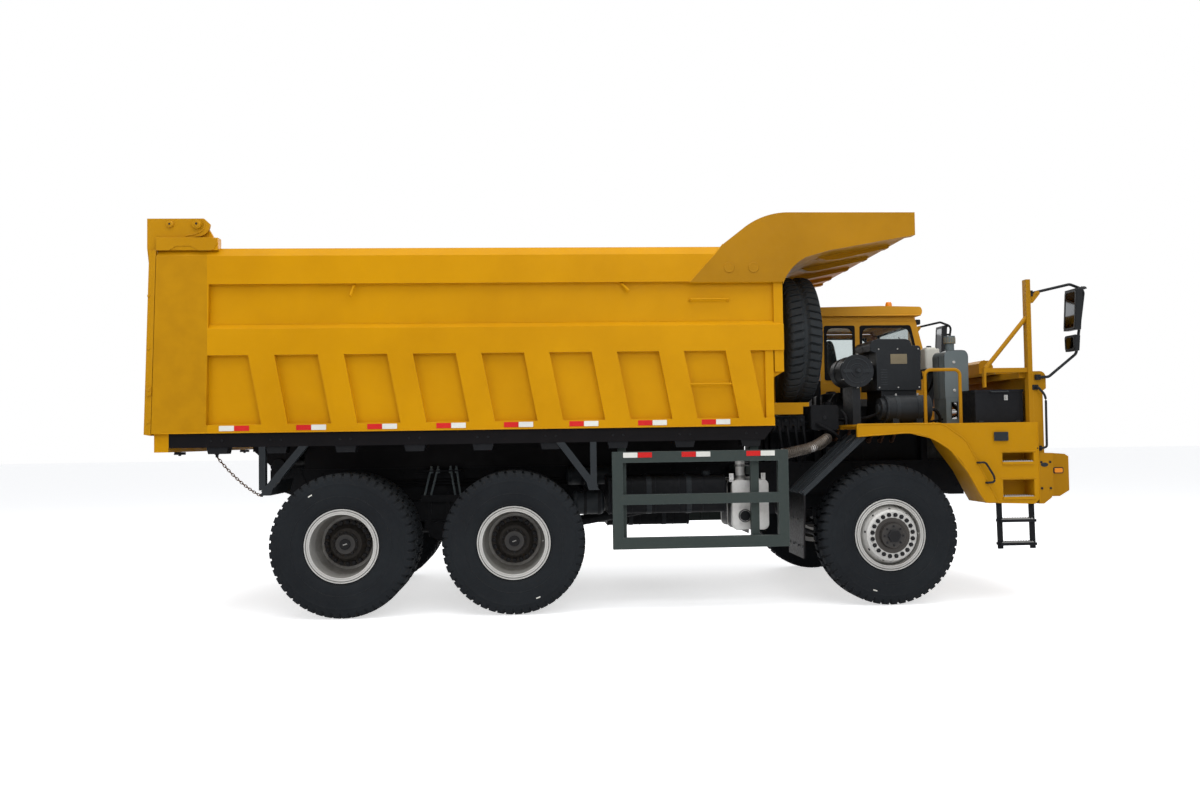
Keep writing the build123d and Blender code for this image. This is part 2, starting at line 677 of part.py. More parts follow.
def cab_door():
    shape = side_slab(door_profile(), cab_left - cab_wall, cab_left)
    shape -= side_slab(window_profile(front_x + 190, front_x + 915, front_x + 800),
                       cab_left - cab_wall - 1, cab_left + 1)
    for z in hinge_heights:
        shape += block(hinge_x - 100, hinge_x - 15, cab_left, cab_left + 10, z, z + 60)
        shape += block(hinge_x - 25, hinge_x, hinge_y - 12, hinge_y + 12, z, z + 60)
        shape += rod((hinge_x, hinge_y, z), (hinge_x, hinge_y, z + 60), 14)
        shape -= rod((hinge_x, hinge_y, z - 1), (hinge_x, hinge_y, z + 61), 8)
    shape += block(front_x + 165, front_x + 185, cab_left - 1, cab_left + 40, 2180, 2300)
    return shape


def door_glass():
    return side_slab(window_profile(front_x + 190, front_x + 915, front_x + 800, glass_gap),
                     cab_left - 24, cab_left - 18)


def door_hinges():
    shape = None
    for z in hinge_heights:
        piece = rod((hinge_x, hinge_y, z - 40), (hinge_x, hinge_y, z + 70), 8 - running_gap)
        piece += rod((hinge_x, hinge_y, z - 40), (hinge_x, hinge_y, z - 5.5), 14)
        piece += block(hinge_x, hinge_x + 60, cab_left - 1, hinge_y, z - 40, z - 5.5)
        shape = piece if shape is None else shape + piece
    return shape


def driver_seat():
    x, y = front_x + 330, 760.0
    pan = outline((x - 260, 2210), (x + 260, 2230), ((x + 285, 2260), (x + 270, 2300)), (x - 200, 2330),
                  (x - 260, 2300))
    back = outline((x - 250, 2320), (x - 130, 2320), (x - 200, 2860), (x - 320, 2850))
    shape = side_slab(pan, y - 250, y + 250) + side_slab(back, y - 240, y + 240)
    shape += block(x - 180, x + 200, y - 180, y + 180, deck_z + cab_wall, 2215)
    return shape


def dashboard():
    fx = front_x
    face = outline((fx + 800, deck_z + cab_wall), (fx + 1066, deck_z + cab_wall), (fx + 1015, 2395),
                   (fx + 930, 2395), (fx + 800, 2300))
    return side_slab(face, cab_right + cab_wall, cab_left - cab_wall - 12) + steering_wheel()


def steering_wheel():
    centre = Vector(front_x + 640, 760, 2500)
    tilt = Plane(origin=centre, z_dir=(-0.55, 0, 0.835))
    ring = tilt * Torus(225, 16)
    shape = ring
    for angle in (0, 120, 240):
        arm = tilt * (Rot(0, 0, angle) * (Pos(115, 0, -6) * Box(220, 34, 12)))
        shape += arm
    shape += tilt * (Pos(0, 0, -20) * Cylinder(60, 44))
    shape += rod(tuple(centre), (front_x + 800 + 12, 760, 2239), 28)
    return shape


# ---------------------------------------------------------------- sides of the chassis
def side_guards():
    # welded square tube guard on the right and its like on the left
    x0, x1 = mid_x + 961, front_x - 1020
    y0, y1 = 28 - body_half, 108 - body_half
    shape = block(x0, x1, y0, y1, 1448, 1555)
    shape += block(x0, x1, y0, y1, 1040, 1138)
    shape += block(x0, x1, y0, y1, 610, 720)
    for a in (x0, x1 - 100):
        shape += block(a, a + 100, y0, y1, 611, 1554)
    for a in (x0 + 60, x1 - 358):
        shape += block(a, a + 80, y1 - 1, y1 + 60, 640, floor_z - sill_depth - 20)
        shape += block(a, a + 80, y1 + 40, -rail_y, 1310, 1390)
    return both_sides(shape)


def silencer():
    x0, x1 = front_x - 1530, front_x - 1170
    face = outline((x0 + 60, 760), (x1 - 60, 760), ((x1 - 17, 778), (x1, 820)), (x1, 1190),
                   ((x1 - 17, 1232), (x1 - 60, 1250)), (x0 + 60, 1250), ((x0 + 17, 1232), (x0, 1190)),
                   (x0, 820), ((x0 + 17, 778), (x0 + 60, 760)))
    face_y = 268 - body_half
    shape = side_slab(face, face_y, -700)
    shape += rod((x0 + 110, face_y - 60, 900), (x0 + 110, face_y, 900), 62)
    # pipe up from its top, forward behind the guard and round to the engine's side
    engine_face = -engine_half - 0.5
    pipe_y = face_y + 120
    shape += pipe([(x0 + 100, pipe_y, 1249), (x0 + 100, pipe_y, 1500), (x0 + 560, pipe_y, 1505),
                   (x0 + 850, pipe_y, 1565), (x0 + 1030, pipe_y + 60, 1660), (x0 + 1060, -760, 1580),
                   (x0 + 1060, engine_face - 200, 1560), (x0 + 1060, engine_face, 1560)], 47, 70)
    for x in (x0 + 60, x1 - 140):
        shape += block(x, x + 80, -701, -rail_y, 1120, 1200)
    return shape


def side_tanks():
    # fuel tank on the left, air and oil tanks on the right
    def tank(y0, y1, x0, x1, z0, z1, r=70):
        face = outline((y0 + r, z0), (y1 - r, z0), (y1, z0 + r), (y1, z1 - r), (y1 - r, z1), (y0 + r, z1),
                       (y0, z1 - r), (y0, z0 + r))
        return end_slab(face, x0, x1)
    shape = tank(700, body_half - 208, mid_x + 1050, mid_x + 2050, 640, 1300, 90)
    for x in (mid_x + 1300, mid_x + 1700):
        shape += both_sides(block(x, x + 80, rail_y, 720, 1090, 1180))
    shape += tank(258 - body_half, -700, mid_x + 1220, front_x - 1810, 760, 1280)
    return shape


def mudguards():
    # black ribbed plates behind the front wheels
    fx = front_x
    plate = outline((fx - 250, 1668), (fx - 235, 1655), (fx - 850, 1105), (fx - 868, 484), (fx - 884, 484),
                    (fx - 868, 1112))
    shape = side_slab(plate, -1640, -1060)
    for y in (-1560, -1370, -1180):
        rib = outline((fx - 262, 1690), (fx - 250, 1668), (fx - 868, 1112), (fx - 900, 1130))
        shape += side_slab(rib, y - 20, y + 20)
    shape += block(fx - 300, fx - 255, -1100, -rail_y, 1560, 1620)
    shape += block(fx - 300, fx - 255, -rail_y - 30, -rail_y, 1380, 1620)
    return both_sides(shape)


def step_ladders():
    x0, x1 = front_x + 1090, front_x + 1470
    y = -1600.0
    shape = None
    for x in (x0, x1 - 50):
        leg = side_slab(outline((x, 535), (x + 50, 535), (x + 44, fender_base),
                                (x - 6, fender_base)), y - 12, y + 12)
        shape = leg if shape is None else shape + leg
    for z in (570, 800):
        shape += block(x0 + 10, x1 - 10, y - 60, y + 60, z, z + 26)
    return both_sides(shape)


# ---------------------------------------------------------------- spare wheel
def spare_turn(face):
    # (radius, along X) pairs spun about an axis along X
    plane = Plane(origin=(spare_x, spare_y, spare_z), x_dir=(0, 1, 0), z_dir=(0, 0, 1))
    solid = revolve(plane * face, axis=Axis((spare_x, spare_y, spare_z), (1, 0, 0)))
    return solid


def spare_tyre():
    return spare_turn(tyre_face(0.0))


def spare_rim():
    return spare_turn(rim_face(0.0)) + spare_turn(disc_face(-60, -100, 1))


def spare_carrier():
    # shelf and back frame between the cab and the body
    top = spare_z - tyre_radius - running_gap
    x0 = spare_x - 262
    shape = block(x0 - 100, x0 + 275, -1150, 200, top - 40, top)
    shape += block(x0 - 100, x0 + 210, -1150, 450, top - 120, top - 39)
    for y in (-rail_y, rail_y - 90):
        shape += block(x0, x0 + 90, y, y + 90, rail_top, top - 119)
    shape += block(x0, x0 + 60, spare_y - 70, spare_y + 70, top - 1, spare_z + 70)
    disc = spare_x - 100
    shape += rod((x0 + 59, spare_y, spare_z), (disc - running_gap, spare_y, spare_z), 60)
    shape += rod((disc - 14, spare_y, spare_z), (disc - running_gap, spare_y, spare_z), 170)
    return shape


# ---------------------------------------------------------------- tipping body
def tail_edge(z):
    return body_tail + tail_lean * (z - floor_z) / (body_top - floor_z)


def rail_profile(z0, z1, slope):
    # flat outside, sloped on top
    return outline((panel_half - 2, z0), (body_half, z0), (body_half, z1), (panel_half - 2, z1 + slope))


def body_side():
    low_nose = body_nose - nose_step
    wall = outline((tail_edge(floor_z), floor_z), (low_nose, floor_z), (low_nose, nose_step_z - 60),
                   (body_nose, nose_step_z), (body_nose, body_top), (tail_edge(body_top), body_top))
    shape = side_slab(wall, inner_half, panel_half)
    post_top = top_rail[1]
    post = outline((tail_edge(floor_z), floor_z), (post_front - 15, floor_z),
                   (post_front + 20, post_top), (tail_edge(post_top), post_top))
    shape += side_slab(post, panel_half, body_half)
    x1 = body_nose
    shape += end_slab(rail_profile(*mid_rail, 50), post_front, x1)
    shape += end_slab(rail_profile(*top_rail, body_top - top_rail[1]), tail_edge(top_rail[0]), x1)
    shape += end_slab(rail_profile(floor_z, floor_z + floor_lip, 0), post_front - 16, body_nose - nose_step)
    for i in range(rib_count):
        x = first_rib + rib_pitch * i
        top, foot = mid_rail[0] + 1, floor_z + floor_lip - 8
        rib = outline((x, top), (x + rib_width, top), (x + rib_width + rib_lean, foot),
                      (x + rib_lean, foot))
        rib = side_slab(rib, panel_half, body_half)
        shape += rib
    front_edge = outline((body_nose - 90, nose_step_z), (body_nose, nose_step_z),
                         (body_nose, top_rail[0] + 2), (body_nose - 90, top_rail[0] + 2))
    shape += side_slab(front_edge, panel_half, body_half - 20)
    front_low = outline((low_nose - 80, floor_z + 10), (low_nose, floor_z + 10),
                        (low_nose, mid_rail[0] + 2), (low_nose - 80, mid_rail[0] + 2))
    shape += side_slab(front_low, panel_half, body_half - 20)
    shape = shape & side_slab(wall, inner_half - 1, body_half + 1)
    # hinge box and lug of the tailgate
    box = outline((tail_edge(body_top), body_top - 23), (gate_pivot_x + 200, body_top - 23),
                  (gate_pivot_x + 200, box_top), (gate_pivot_x - 345, box_top))
    shape += side_slab(box, inner_half, body_half)
    lug = outline((gate_pivot_x - 120, box_top - 1), (gate_pivot_x + 150, box_top - 1),
                  (gate_pivot_x + 60, gate_pivot_z + 20),
                  ((gate_pivot_x, gate_pivot_z + 62), (gate_pivot_x - 60, gate_pivot_z + 20)))
    shape += side_slab(lug, inner_half, inner_half + 40)
    shape += rod((gate_pivot_x, inner_half + 10, gate_pivot_z),
                 (gate_pivot_x, body_half - 6, gate_pivot_z), 30)
    shape += rod((gate_pivot_x, body_half - 20, gate_pivot_z), (gate_pivot_x, body_half, gate_pivot_z), 46)
    return shape


def body_floor():
    wall_foot = body_nose - nose_step - nose_wall
    edge = outline((tail_edge(floor_z), floor_z), (wall_foot, floor_z), (wall_foot, floor_z + floor_thick),
                   (tail_edge(floor_z + floor_thick), floor_z + floor_thick))
    shape = side_slab(edge, -inner_half, inner_half)
    top = floor_z
    low = floor_z - cross_depth
    for i in range(-1, rib_count):
        x = first_rib + rib_lean + rib_width / 2 + rib_pitch * i
        member = outline((x - 45, low), (x + 45, low), (x + 45, top), (x - 45, top))
        shape += side_slab(member, -member_half, member_half)
    tail = outline((tail_edge(floor_z) + 10, 1615), (tail_edge(floor_z) + 140, 1615),
                   (tail_edge(floor_z) + 140, top),
                   (tail_edge(floor_z) + 10, top))
    shape += side_slab(tail, -member_half, member_half)
    sill_x = body_nose - nose_step
    sill = outline((tail_edge(floor_z) + 139, top), (tail_edge(floor_z) + 139, top - sill_depth),
                   (sill_x - 100, top - sill_depth), (sill_x, top - 10), (sill_x, top))
    shape += both_sides(side_slab(sill, member_half - sill_width, member_half))
    runner = block(pivot_x + 240, body_nose - nose_step - 60, rail_y - rail_width, rail_y, runner_bottom,
                   low)
    shape += both_sides(runner)
    # tipping hinge ears on a box beam
    beam = block(pivot_x - 260, pivot_x + 260, -600, 600, 1600, low + 1)
    shape += beam
    ear = outline((pivot_x - 260, 1601), (pivot_x - 95, pivot_z),
                  ((pivot_x, pivot_z - 95), (pivot_x + 95, pivot_z)),
                  (pivot_x + 260, 1601))
    ears = both_sides(side_slab(ear, rail_y + 20, rail_y + 100))
    ears -= rod((pivot_x, -700, pivot_z), (pivot_x, 700, pivot_z), 45.3)
    shape += ears
    # ears for the rods' eyes
    ex, ez = hoist_eye
    plate = outline((ex - 170, low + 1), (ex - 75, ez - 10), ((ex, ez - 75), (ex + 75, ez - 10)),
                    (ex + 120, low + 1))
    half = barrel_radius + 5
    for middle in (-hoist_y, hoist_y):
        for y in (middle - half - 24, middle + half):
            shape += side_slab(plate, y, y + 24)
    shape += block(ex - 170, ex + 120, -rail_y + 1, rail_y - 1, low, low + 40)
    return shape


def front_wall():
    low, high = body_nose - nose_step, body_nose
    wall = outline((low - nose_wall, floor_z), (low, floor_z), (low, nose_step_z - 60), (high, nose_step_z),
                   (high, canopy_foot), (high - 55, canopy_foot), (high - 55, nose_step_z + 10),
                   (low - nose_wall, nose_step_z - 50))
    return side_slab(wall, -inner_half, inner_half)


def canopy():
    # deck plate over the cab with side kerbs, front lip and ribs below
    n = body_nose
    tip = n + canopy_reach
    foot = (n, canopy_foot)
    # lower edge forward from the front wall, then the upper edge back over the body
    under = [(n, canopy_foot - 25), ((n + 113, 3355), (n + 234, 3443)), (n + 476, 3512), (tip, 3660)]
    over = [(tip, canopy_top), (n + 84, canopy_top + 2), ((n - 215, 3831), (n - 396, 3722))]
    kerb = outline(*under, *over, (n - 587, canopy_heel), (n - 658, canopy_heel - 88),
                   (n - 919, canopy_foot), foot)
    side = side_slab(kerb, body_half, plate_half)
    ahead = outline(foot, *under[1:], *over[:2], (n, canopy_top - 10))
    side += side_slab(ahead, inner_half, body_half)
    top = outline((n - 575, body_top), (n - 573, canopy_heel), (n - 396, 3722),
                  ((n - 215, 3831), (n + 84, canopy_top + 2)), (n + 84, body_top))
    side += side_slab(top, inner_half + 10, body_half)
    shape = both_sides(side)
    plate = outline(foot, (n + 113, 3380), (n + 234, 3468), (n + 476, 3537), (tip, 3685), (tip, 3715),
                    (n + 470, 3567), (n + 222, 3496), (n + 95, 3402), (n - 55, 3236), (n - 55, canopy_foot))
    shape += side_slab(plate, -inner_half, inner_half)
    shape += block(tip - 25, tip, -inner_half, inner_half, 3690, canopy_top)
    rib = outline((n + 520, 3543), (n + 1290, 3678), (n + 1270, 3640), (n + 720, 3525), (n + 600, 3515))
    for y in (-1050, -350, 350, 1050):
        shape += side_slab(rib, y - 60, y + 60)
    return shape


def body_mudguards():
    # brackets and sloped plates hung from the body round the driven wheels
    shape = None
    y0, y1 = -member_half, -member_half + 80
    top = floor_z - sill_depth
    for lean, post, foot in ((rear_x - 319, rear_x - 715, rear_x - 755),
                             (mid_x + 423, mid_x + 750, mid_x + 823)):
        direction = 1 if foot > post else -1
        strut = outline((lean, top), (lean + direction * 80, top), (foot, 1230),
                        (foot - direction * 60, 1196))
        piece = side_slab(strut, y0, y1)
        piece += block(min(post, post + direction * 60), max(post, post + direction * 60), y0, y1, 1240, top)
        plate = outline((foot - direction * 90, 1190), (foot + direction * 10, 1190),
                        (foot - direction * 30, 1260),
                        (foot - direction * 130, 1330))
        piece += side_slab(plate, y0, -900)
        shape = piece if shape is None else shape + piece
    return both_sides(shape)


def tailgate():
    edge_y = body_half - 40

    def lean(z, offset):
        return tail_edge(z) - gate_gap - offset

    z0, z1 = floor_z - 15, body_top - 20
    bar_step = (z1 - 110 - z0) / 3
    skin = outline((lean(z0, 0), z0), (lean(z1, 0), z1), (lean(z1, 14), z1), (lean(z0, 14), z0))
    shape = side_slab(skin, -body_half, body_half)
    for i in range(4):
        low = z0 + bar_step * i
        bar = outline((lean(low, 10), low), (lean(low + 110, 10), low + 110),
                      (lean(low + 110, gate_thick), low + 95),
                      (lean(low, gate_thick), low + 15))
        shape += side_slab(bar, -body_half, body_half)
    upright = outline((lean(z0, 10), z0), (lean(z1, 10), z1), (lean(z1, gate_thick), z1 - 10),
                      (lean(z0, gate_thick), z0 + 10))
    for y in (-edge_y, -1100, -550, 0, 550, 1100, edge_y):
        shape += side_slab(upright, y - 40, y + 40)
    # arms over the sides to the top pins
    px, pz = gate_pivot_x, gate_pivot_z
    nose = arm_nose * math.sqrt(0.5)
    low, high = z1 - 210, box_top + 7
    arm = outline((lean(low, 60), low), (lean(low, 0), low), (lean(high, 0), high),
                  (px - 60, high), (px, pz - arm_nose), ((px + nose, pz - nose), (px + arm_nose, pz)),
                  (px + 60, pz + 55), (px - 470, pz + 55), (px - 470, body_top))
    arm = side_slab(arm, inner_half + 46, body_half - 26)
    arm -= rod((px, inner_half, pz), (px, body_half, pz), 30.3)
    arm += rod((px - 255, body_half - 27, pz), (px - 255, body_half - 12, pz), 34)
    shape += both_sides(arm)
    return shape


# ---------------------------------------------------------------- hoist
hoist_length = math.dist(hoist_base, hoist_eye)
hoist_way = ((hoist_eye[0] - hoist_base[0]) / hoist_length, (hoist_eye[1] - hoist_base[1]) / hoist_length)
barrel_end = 1350.0


def along(s, y):
    return (hoist_base[0] + hoist_way[0] * s, y, hoist_base[1] + hoist_way[1] * s)


def hoist_barrels():
    shape = None
    for y in (-hoist_y, hoist_y):
        tube = rod(along(40, y), along(barrel_end, y), barrel_radius)
        tube += rod((hoist_base[0], y - 60, hoist_base[1]), (hoist_base[0], y + 60, hoist_base[1]), 88)
        tube -= rod(along(125, y), along(barrel_end + 1, y), stage_radius + slide_gap)
        tube -= rod((hoist_base[0], y - 96, hoist_base[1]), (hoist_base[0], y + 96, hoist_base[1]), 55.3)
        shape = tube if shape is None else shape + tube
    return shape


def hoist_stages():
    shape = None
    for y in (-hoist_y, hoist_y):
        tube = rod(along(150, y), along(1380, y), stage_radius)
        tube -= rod(along(149, y), along(1381, y), ram_radius + slide_gap)
        shape = tube if shape is None else shape + tube
    return shape


def hoist_rams():
    shape = None
    half = barrel_radius + 5 - ear_gap
    for y in (-hoist_y, hoist_y):
        ram = rod(along(170, y), along(hoist_length - 30, y), ram_radius)
        eye = rod((hoist_eye[0], y - half, hoist_eye[1]), (hoist_eye[0], y + half, hoist_eye[1]), 38)
        eye += rod((hoist_eye[0], y - 45, hoist_eye[1]), (hoist_eye[0], y + 45, hoist_eye[1]), 68)
        shape = ram + eye if shape is None else shape + ram + eye
    return shape


# ---------------------------------------------------------------- all sub-parts
def all_parts():
    right_fender = fender()
    side = body_side()
    parts = {
        "chassis_frame": chassis_frame(),
        "rear_springs": rear_springs(),
        "drive_axles": drive_axles(),
        "drive_shafts": drive_shafts(),
        "front_axle": front_axle(),
        "front_springs": front_springs(),
        "engine_block": engine_block(),
        "radiator": radiator(),
        "air_intake": air_intake(),
        "air_drum": air_drum(),
        "expansion_tank": expansion_tank(),
        "battery_box": battery_box(),
        "fender_right": right_fender,
        "fender_left": mirror(right_fender, about=Plane.XZ),
        "front_bumper": front_bumper(),
        "front_cowl": front_cowl(),
        "front_deck": front_deck(),
        "front_rails": front_rails(),
        "mirrors": mirrors(),
        "headlamps": headlamps(),
        "cab_shell": cab_shell(),
        "cab_roof": cab_roof(),
        "cab_glass": cab_glass(),
        "cab_door": cab_door(),
        "door_glass": door_glass(),
        "driver_seat": driver_seat(),
        "dashboard": dashboard(),
        "side_guards": side_guards(),
        "silencer": silencer(),
        "side_tanks": side_tanks(),
        "mudguards": mudguards(),
        "step_ladders": step_ladders(),
        "spare_tyre": spare_tyre(),
        "spare_rim": spare_rim(),
        "spare_carrier": spare_carrier(),
        "body_floor": body_floor(),
        "body_side_left": side,
        "body_side_right": mirror(side, about=Plane.XZ),
        "body_front_wall": front_wall(),
        "body_canopy": canopy(),
        "body_mudguards": body_mudguards(),
        "tailgate": tailgate(),
        "hoist_barrels": hoist_barrels(),
        "hoist_stages": hoist_stages(),
        "hoist_rams": hoist_rams(),
        "tie_rod": tie_rod(),
    }
    for name, side_sign in (("right", -1), ("left", 1)):
        parts["knuckle_" + name] = knuckle(side_sign)
        parts["front_tyre_" + name] = front_tyre(side_sign)
        parts["front_rim_" + name] = front_rim(side_sign) + front_hub(side_sign)
        for axle, x in (("mid", mid_x), ("rear", rear_x)):
            parts[axle + "_tyres_" + name] = rear_tyres(x, side_sign)
            parts[axle + "_rims_" + name] = rear_rims(x, side_sign) + rear_hub(x, side_sign)
    return parts


os.makedirs("parts", exist_ok=True)
for name, shape in all_parts().items():
    export_step(shape, "parts/" + name + ".step")
    size = shape.bounding_box()
    print(name, len(shape.solids()), "solids", [round(v) for v in (*size.min, *size.max)])
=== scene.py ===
import math

import bmesh
import bpy
import numpy as np
from mathutils import Matrix, Vector


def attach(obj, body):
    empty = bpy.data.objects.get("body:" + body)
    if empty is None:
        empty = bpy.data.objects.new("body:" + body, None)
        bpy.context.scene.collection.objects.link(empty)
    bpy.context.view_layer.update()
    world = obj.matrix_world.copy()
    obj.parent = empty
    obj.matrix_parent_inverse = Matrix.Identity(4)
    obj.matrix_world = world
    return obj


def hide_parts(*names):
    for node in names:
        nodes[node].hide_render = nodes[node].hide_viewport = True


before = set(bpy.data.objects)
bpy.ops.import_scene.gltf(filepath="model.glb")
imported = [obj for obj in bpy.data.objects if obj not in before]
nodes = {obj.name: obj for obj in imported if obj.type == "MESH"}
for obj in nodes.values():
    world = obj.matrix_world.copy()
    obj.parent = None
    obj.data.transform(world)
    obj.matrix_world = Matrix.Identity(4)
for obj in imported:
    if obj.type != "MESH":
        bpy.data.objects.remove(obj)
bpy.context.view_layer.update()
print("frame loaded:", len(nodes), "nodes")

# places shared by several pieces, in metres
axleX = {"front": 2.58, "mid": -1.13, "rear": -2.77}
wheelZ = 0.695
sides = {"Right": -1, "Left": 1}
frontX = axleX["front"]


# ---- shader nodes

def srgb(r, g, b):
    # 0-255 screen values as linear light
    c = np.array([r, g, b]) / 255.0
    c = np.where(c <= 0.04045, c / 12.92, ((c + 0.055) / 1.055) ** 2.4)
    return tuple(float(x) for x in c) + (1.0,)


def newMaterial(name):
    material = bpy.data.materials.new(name)
    material.use_nodes = True
    tree = material.node_tree
    return material, tree, tree.nodes["Principled BSDF"]


def node(tree, kind, **values):
    # a new node; each value goes to the socket of its name, or else to the node's own setting
    made = tree.nodes.new("ShaderNode" + kind)
    for key, value in values.items():
        if key in made.inputs:
            made.inputs[key].default_value = value
        else:
            setattr(made, key, value)
    return made


def setSockets(made, values):
    for key, value in values.items():
        made.inputs[key].default_value = value


def fed(made, *sources):
    # joins sources to the node's first sockets in turn and gives its first output
    for socket, source in zip(list(made.inputs), sources):
        made.id_data.links.new(source, socket)
    return made.outputs[0]


def outputOf(tree, kind):
    return next(n for n in tree.nodes if n.type == kind)


def noise(tree, place, scale, detail, roughness=0.5):
    made = node(tree, "TexNoise", Scale=scale, Detail=detail, Roughness=roughness)
    tree.links.new(place, made.inputs["Vector"])
    return made.outputs["Fac"]


def ramp(tree, source, low, high, out0=0.0, out1=1.0):
    made = node(tree, "MapRange", clamp=True)
    setSockets(made, {"From Min": low, "From Max": high, "To Min": out0, "To Max": out1})
    tree.links.new(source, made.inputs["Value"])
    return made.outputs["Result"]


def mixColour(tree, factor, first, second):
    mix = node(tree, "Mix", data_type="RGBA", blend_type="MIX")
    tree.links.new(factor, mix.inputs["Factor"])
    for socket, value in ((mix.inputs[6], first), (mix.inputs[7], second)):
        if isinstance(value, tuple):
            socket.default_value = value
        else:
            tree.links.new(value, socket)
    return mix.outputs[2]


def grain(tree, shader, height, strength, distance):
    # fine relief in the shading
    bump = node(tree, "Bump", Strength=strength, Distance=distance)
    tree.links.new(height, bump.inputs["Height"])
    tree.links.new(bump.outputs[0], shader.inputs["Normal"])


# ---- camera, light and stage

cameraView = {"place": (-0.8404, -11.4435, 1.6911), "yaw": 3.28, "pitch": 1.94, "roll": -0.83,
              "lens": 30.28}


def setCamera(view):
    yaw, pitch, roll = (math.radians(view[k]) for k in ("yaw", "pitch", "roll"))
    ahead = Vector((math.sin(yaw) * math.cos(pitch), math.cos(yaw) * math.cos(pitch), math.sin(pitch)))
    right = Vector((math.cos(yaw), -math.sin(yaw), 0))
    up = right.cross(ahead)
    side = right * math.cos(roll) + up * math.sin(roll)
    top = up * math.cos(roll) - right * math.sin(roll)
    data = bpy.data.cameras.new("sideCamera")
    data.lens = view["lens"]
    data.sensor_width = 36
    data.clip_end = 200
    camera = bpy.data.objects.new("sideCamera", data)
    turn = Matrix((side, top, -ahead)).transposed().to_4x4()
    camera.matrix_world = Matrix.Translation(view["place"]) @ turn
    bpy.context.scene.collection.objects.link(camera)
    bpy.context.scene.camera = camera
    bpy.context.scene.view_settings.view_transform = "Standard"


lights = {
    # name: (place, aimed at, width, height, watts)
    "skyPanel": ((0.5, -3.5, 11.0), (0.0, 0.0, 1.5), 16, 9, 1150),
    "frontPanel": ((3.5, -13.0, 7.5), (0.0, 0.0, 1.8), 11, 6, 560),
    "rearPanel": ((-11.0, -9.0, 6.0), (-1.0, 0.0, 1.8), 7, 5, 260),
    "backPanel": ((2.0, 12.0, 7.5), (0.0, 0.0, 1.8), 12, 6, 620),
}


def setLights(table):
    for name, (place, aim, width, height, watts) in table.items():
        data = bpy.data.lights.new(name, "AREA")
        data.shape = "RECTANGLE"
        data.size, data.size_y, data.energy = width, height, watts
        lamp = bpy.data.objects.new(name, data)
        lamp.location = place
        lamp.rotation_mode = "QUATERNION"
        lamp.rotation_quaternion = (Vector(aim) - Vector(place)).to_track_quat("-Z", "Y")
        bpy.context.scene.collection.objects.link(lamp)


def whiteToEye(tree, output, brightness=1.0):
    # share of camera, mirror and glass rays, and the plain white that they see
    path = node(tree, "LightPath").outputs
    kind = "Background" if output.type == "OUTPUT_WORLD" else "Emission"
    white = node(tree, kind, Color=(1, 1, 1, 1), Strength=brightness)
    rays = fed(node(tree, "Math", operation="MAXIMUM"), path["Is Camera Ray"], path["Is Glossy Ray"])
    rays = fed(node(tree, "Math", operation="MAXIMUM"), rays, path["Is Transmission Ray"])
    return rays, white.outputs[0]


def setWorld():
    world = bpy.data.worlds.new("studio")
    world.use_nodes = True
    tree = world.node_tree
    output = outputOf(tree, "OUTPUT_WORLD")
    light = tree.nodes["Background"]
    setSockets(light, {"Color": (0.93, 0.96, 1.0, 1), "Strength": 0.36})
    seen, white = whiteToEye(tree, output)
    surface = fed(node(tree, "MixShader"), seen, light.outputs[0], white)
    tree.links.new(surface, output.inputs["Surface"])
    bpy.context.scene.world = world


stage = {"reach": 90.0, "level": -0.002, "glow": 0.62}


def setFloor():
    reach, level = stage["reach"], stage["level"]
    mesh = bpy.data.meshes.new("studioFloor")
    mesh.from_pydata([(-reach, -reach, level), (reach, -reach, level), (reach, reach, level),
                      (-reach, reach, level)],
                     [], [(0, 1, 2, 3)])
    floor = bpy.data.objects.new("studioFloor", mesh)
    bpy.context.scene.collection.objects.link(floor)
    material, tree, shader = newMaterial("paleFloor")
    setSockets(shader, {"Base Color": (0.86, 0.86, 0.87, 1), "Roughness": 0.9, "Specular IOR Level": 0.1})
    output = outputOf(tree, "OUTPUT_MATERIAL")
    seen, white = whiteToEye(tree, output, stage["glow"])
    bright = fed(node(tree, "AddShader"), shader.outputs[0], white)
    surface = fed(node(tree, "MixShader"), seen, shader.outputs[0], bright)
    tree.links.new(surface, output.inputs["Surface"])
    mesh.materials.append(material)


setCamera(cameraView)
setLights(lights)
setWorld()
setFloor()
print("camera, light and floor set")


# ---- finishes

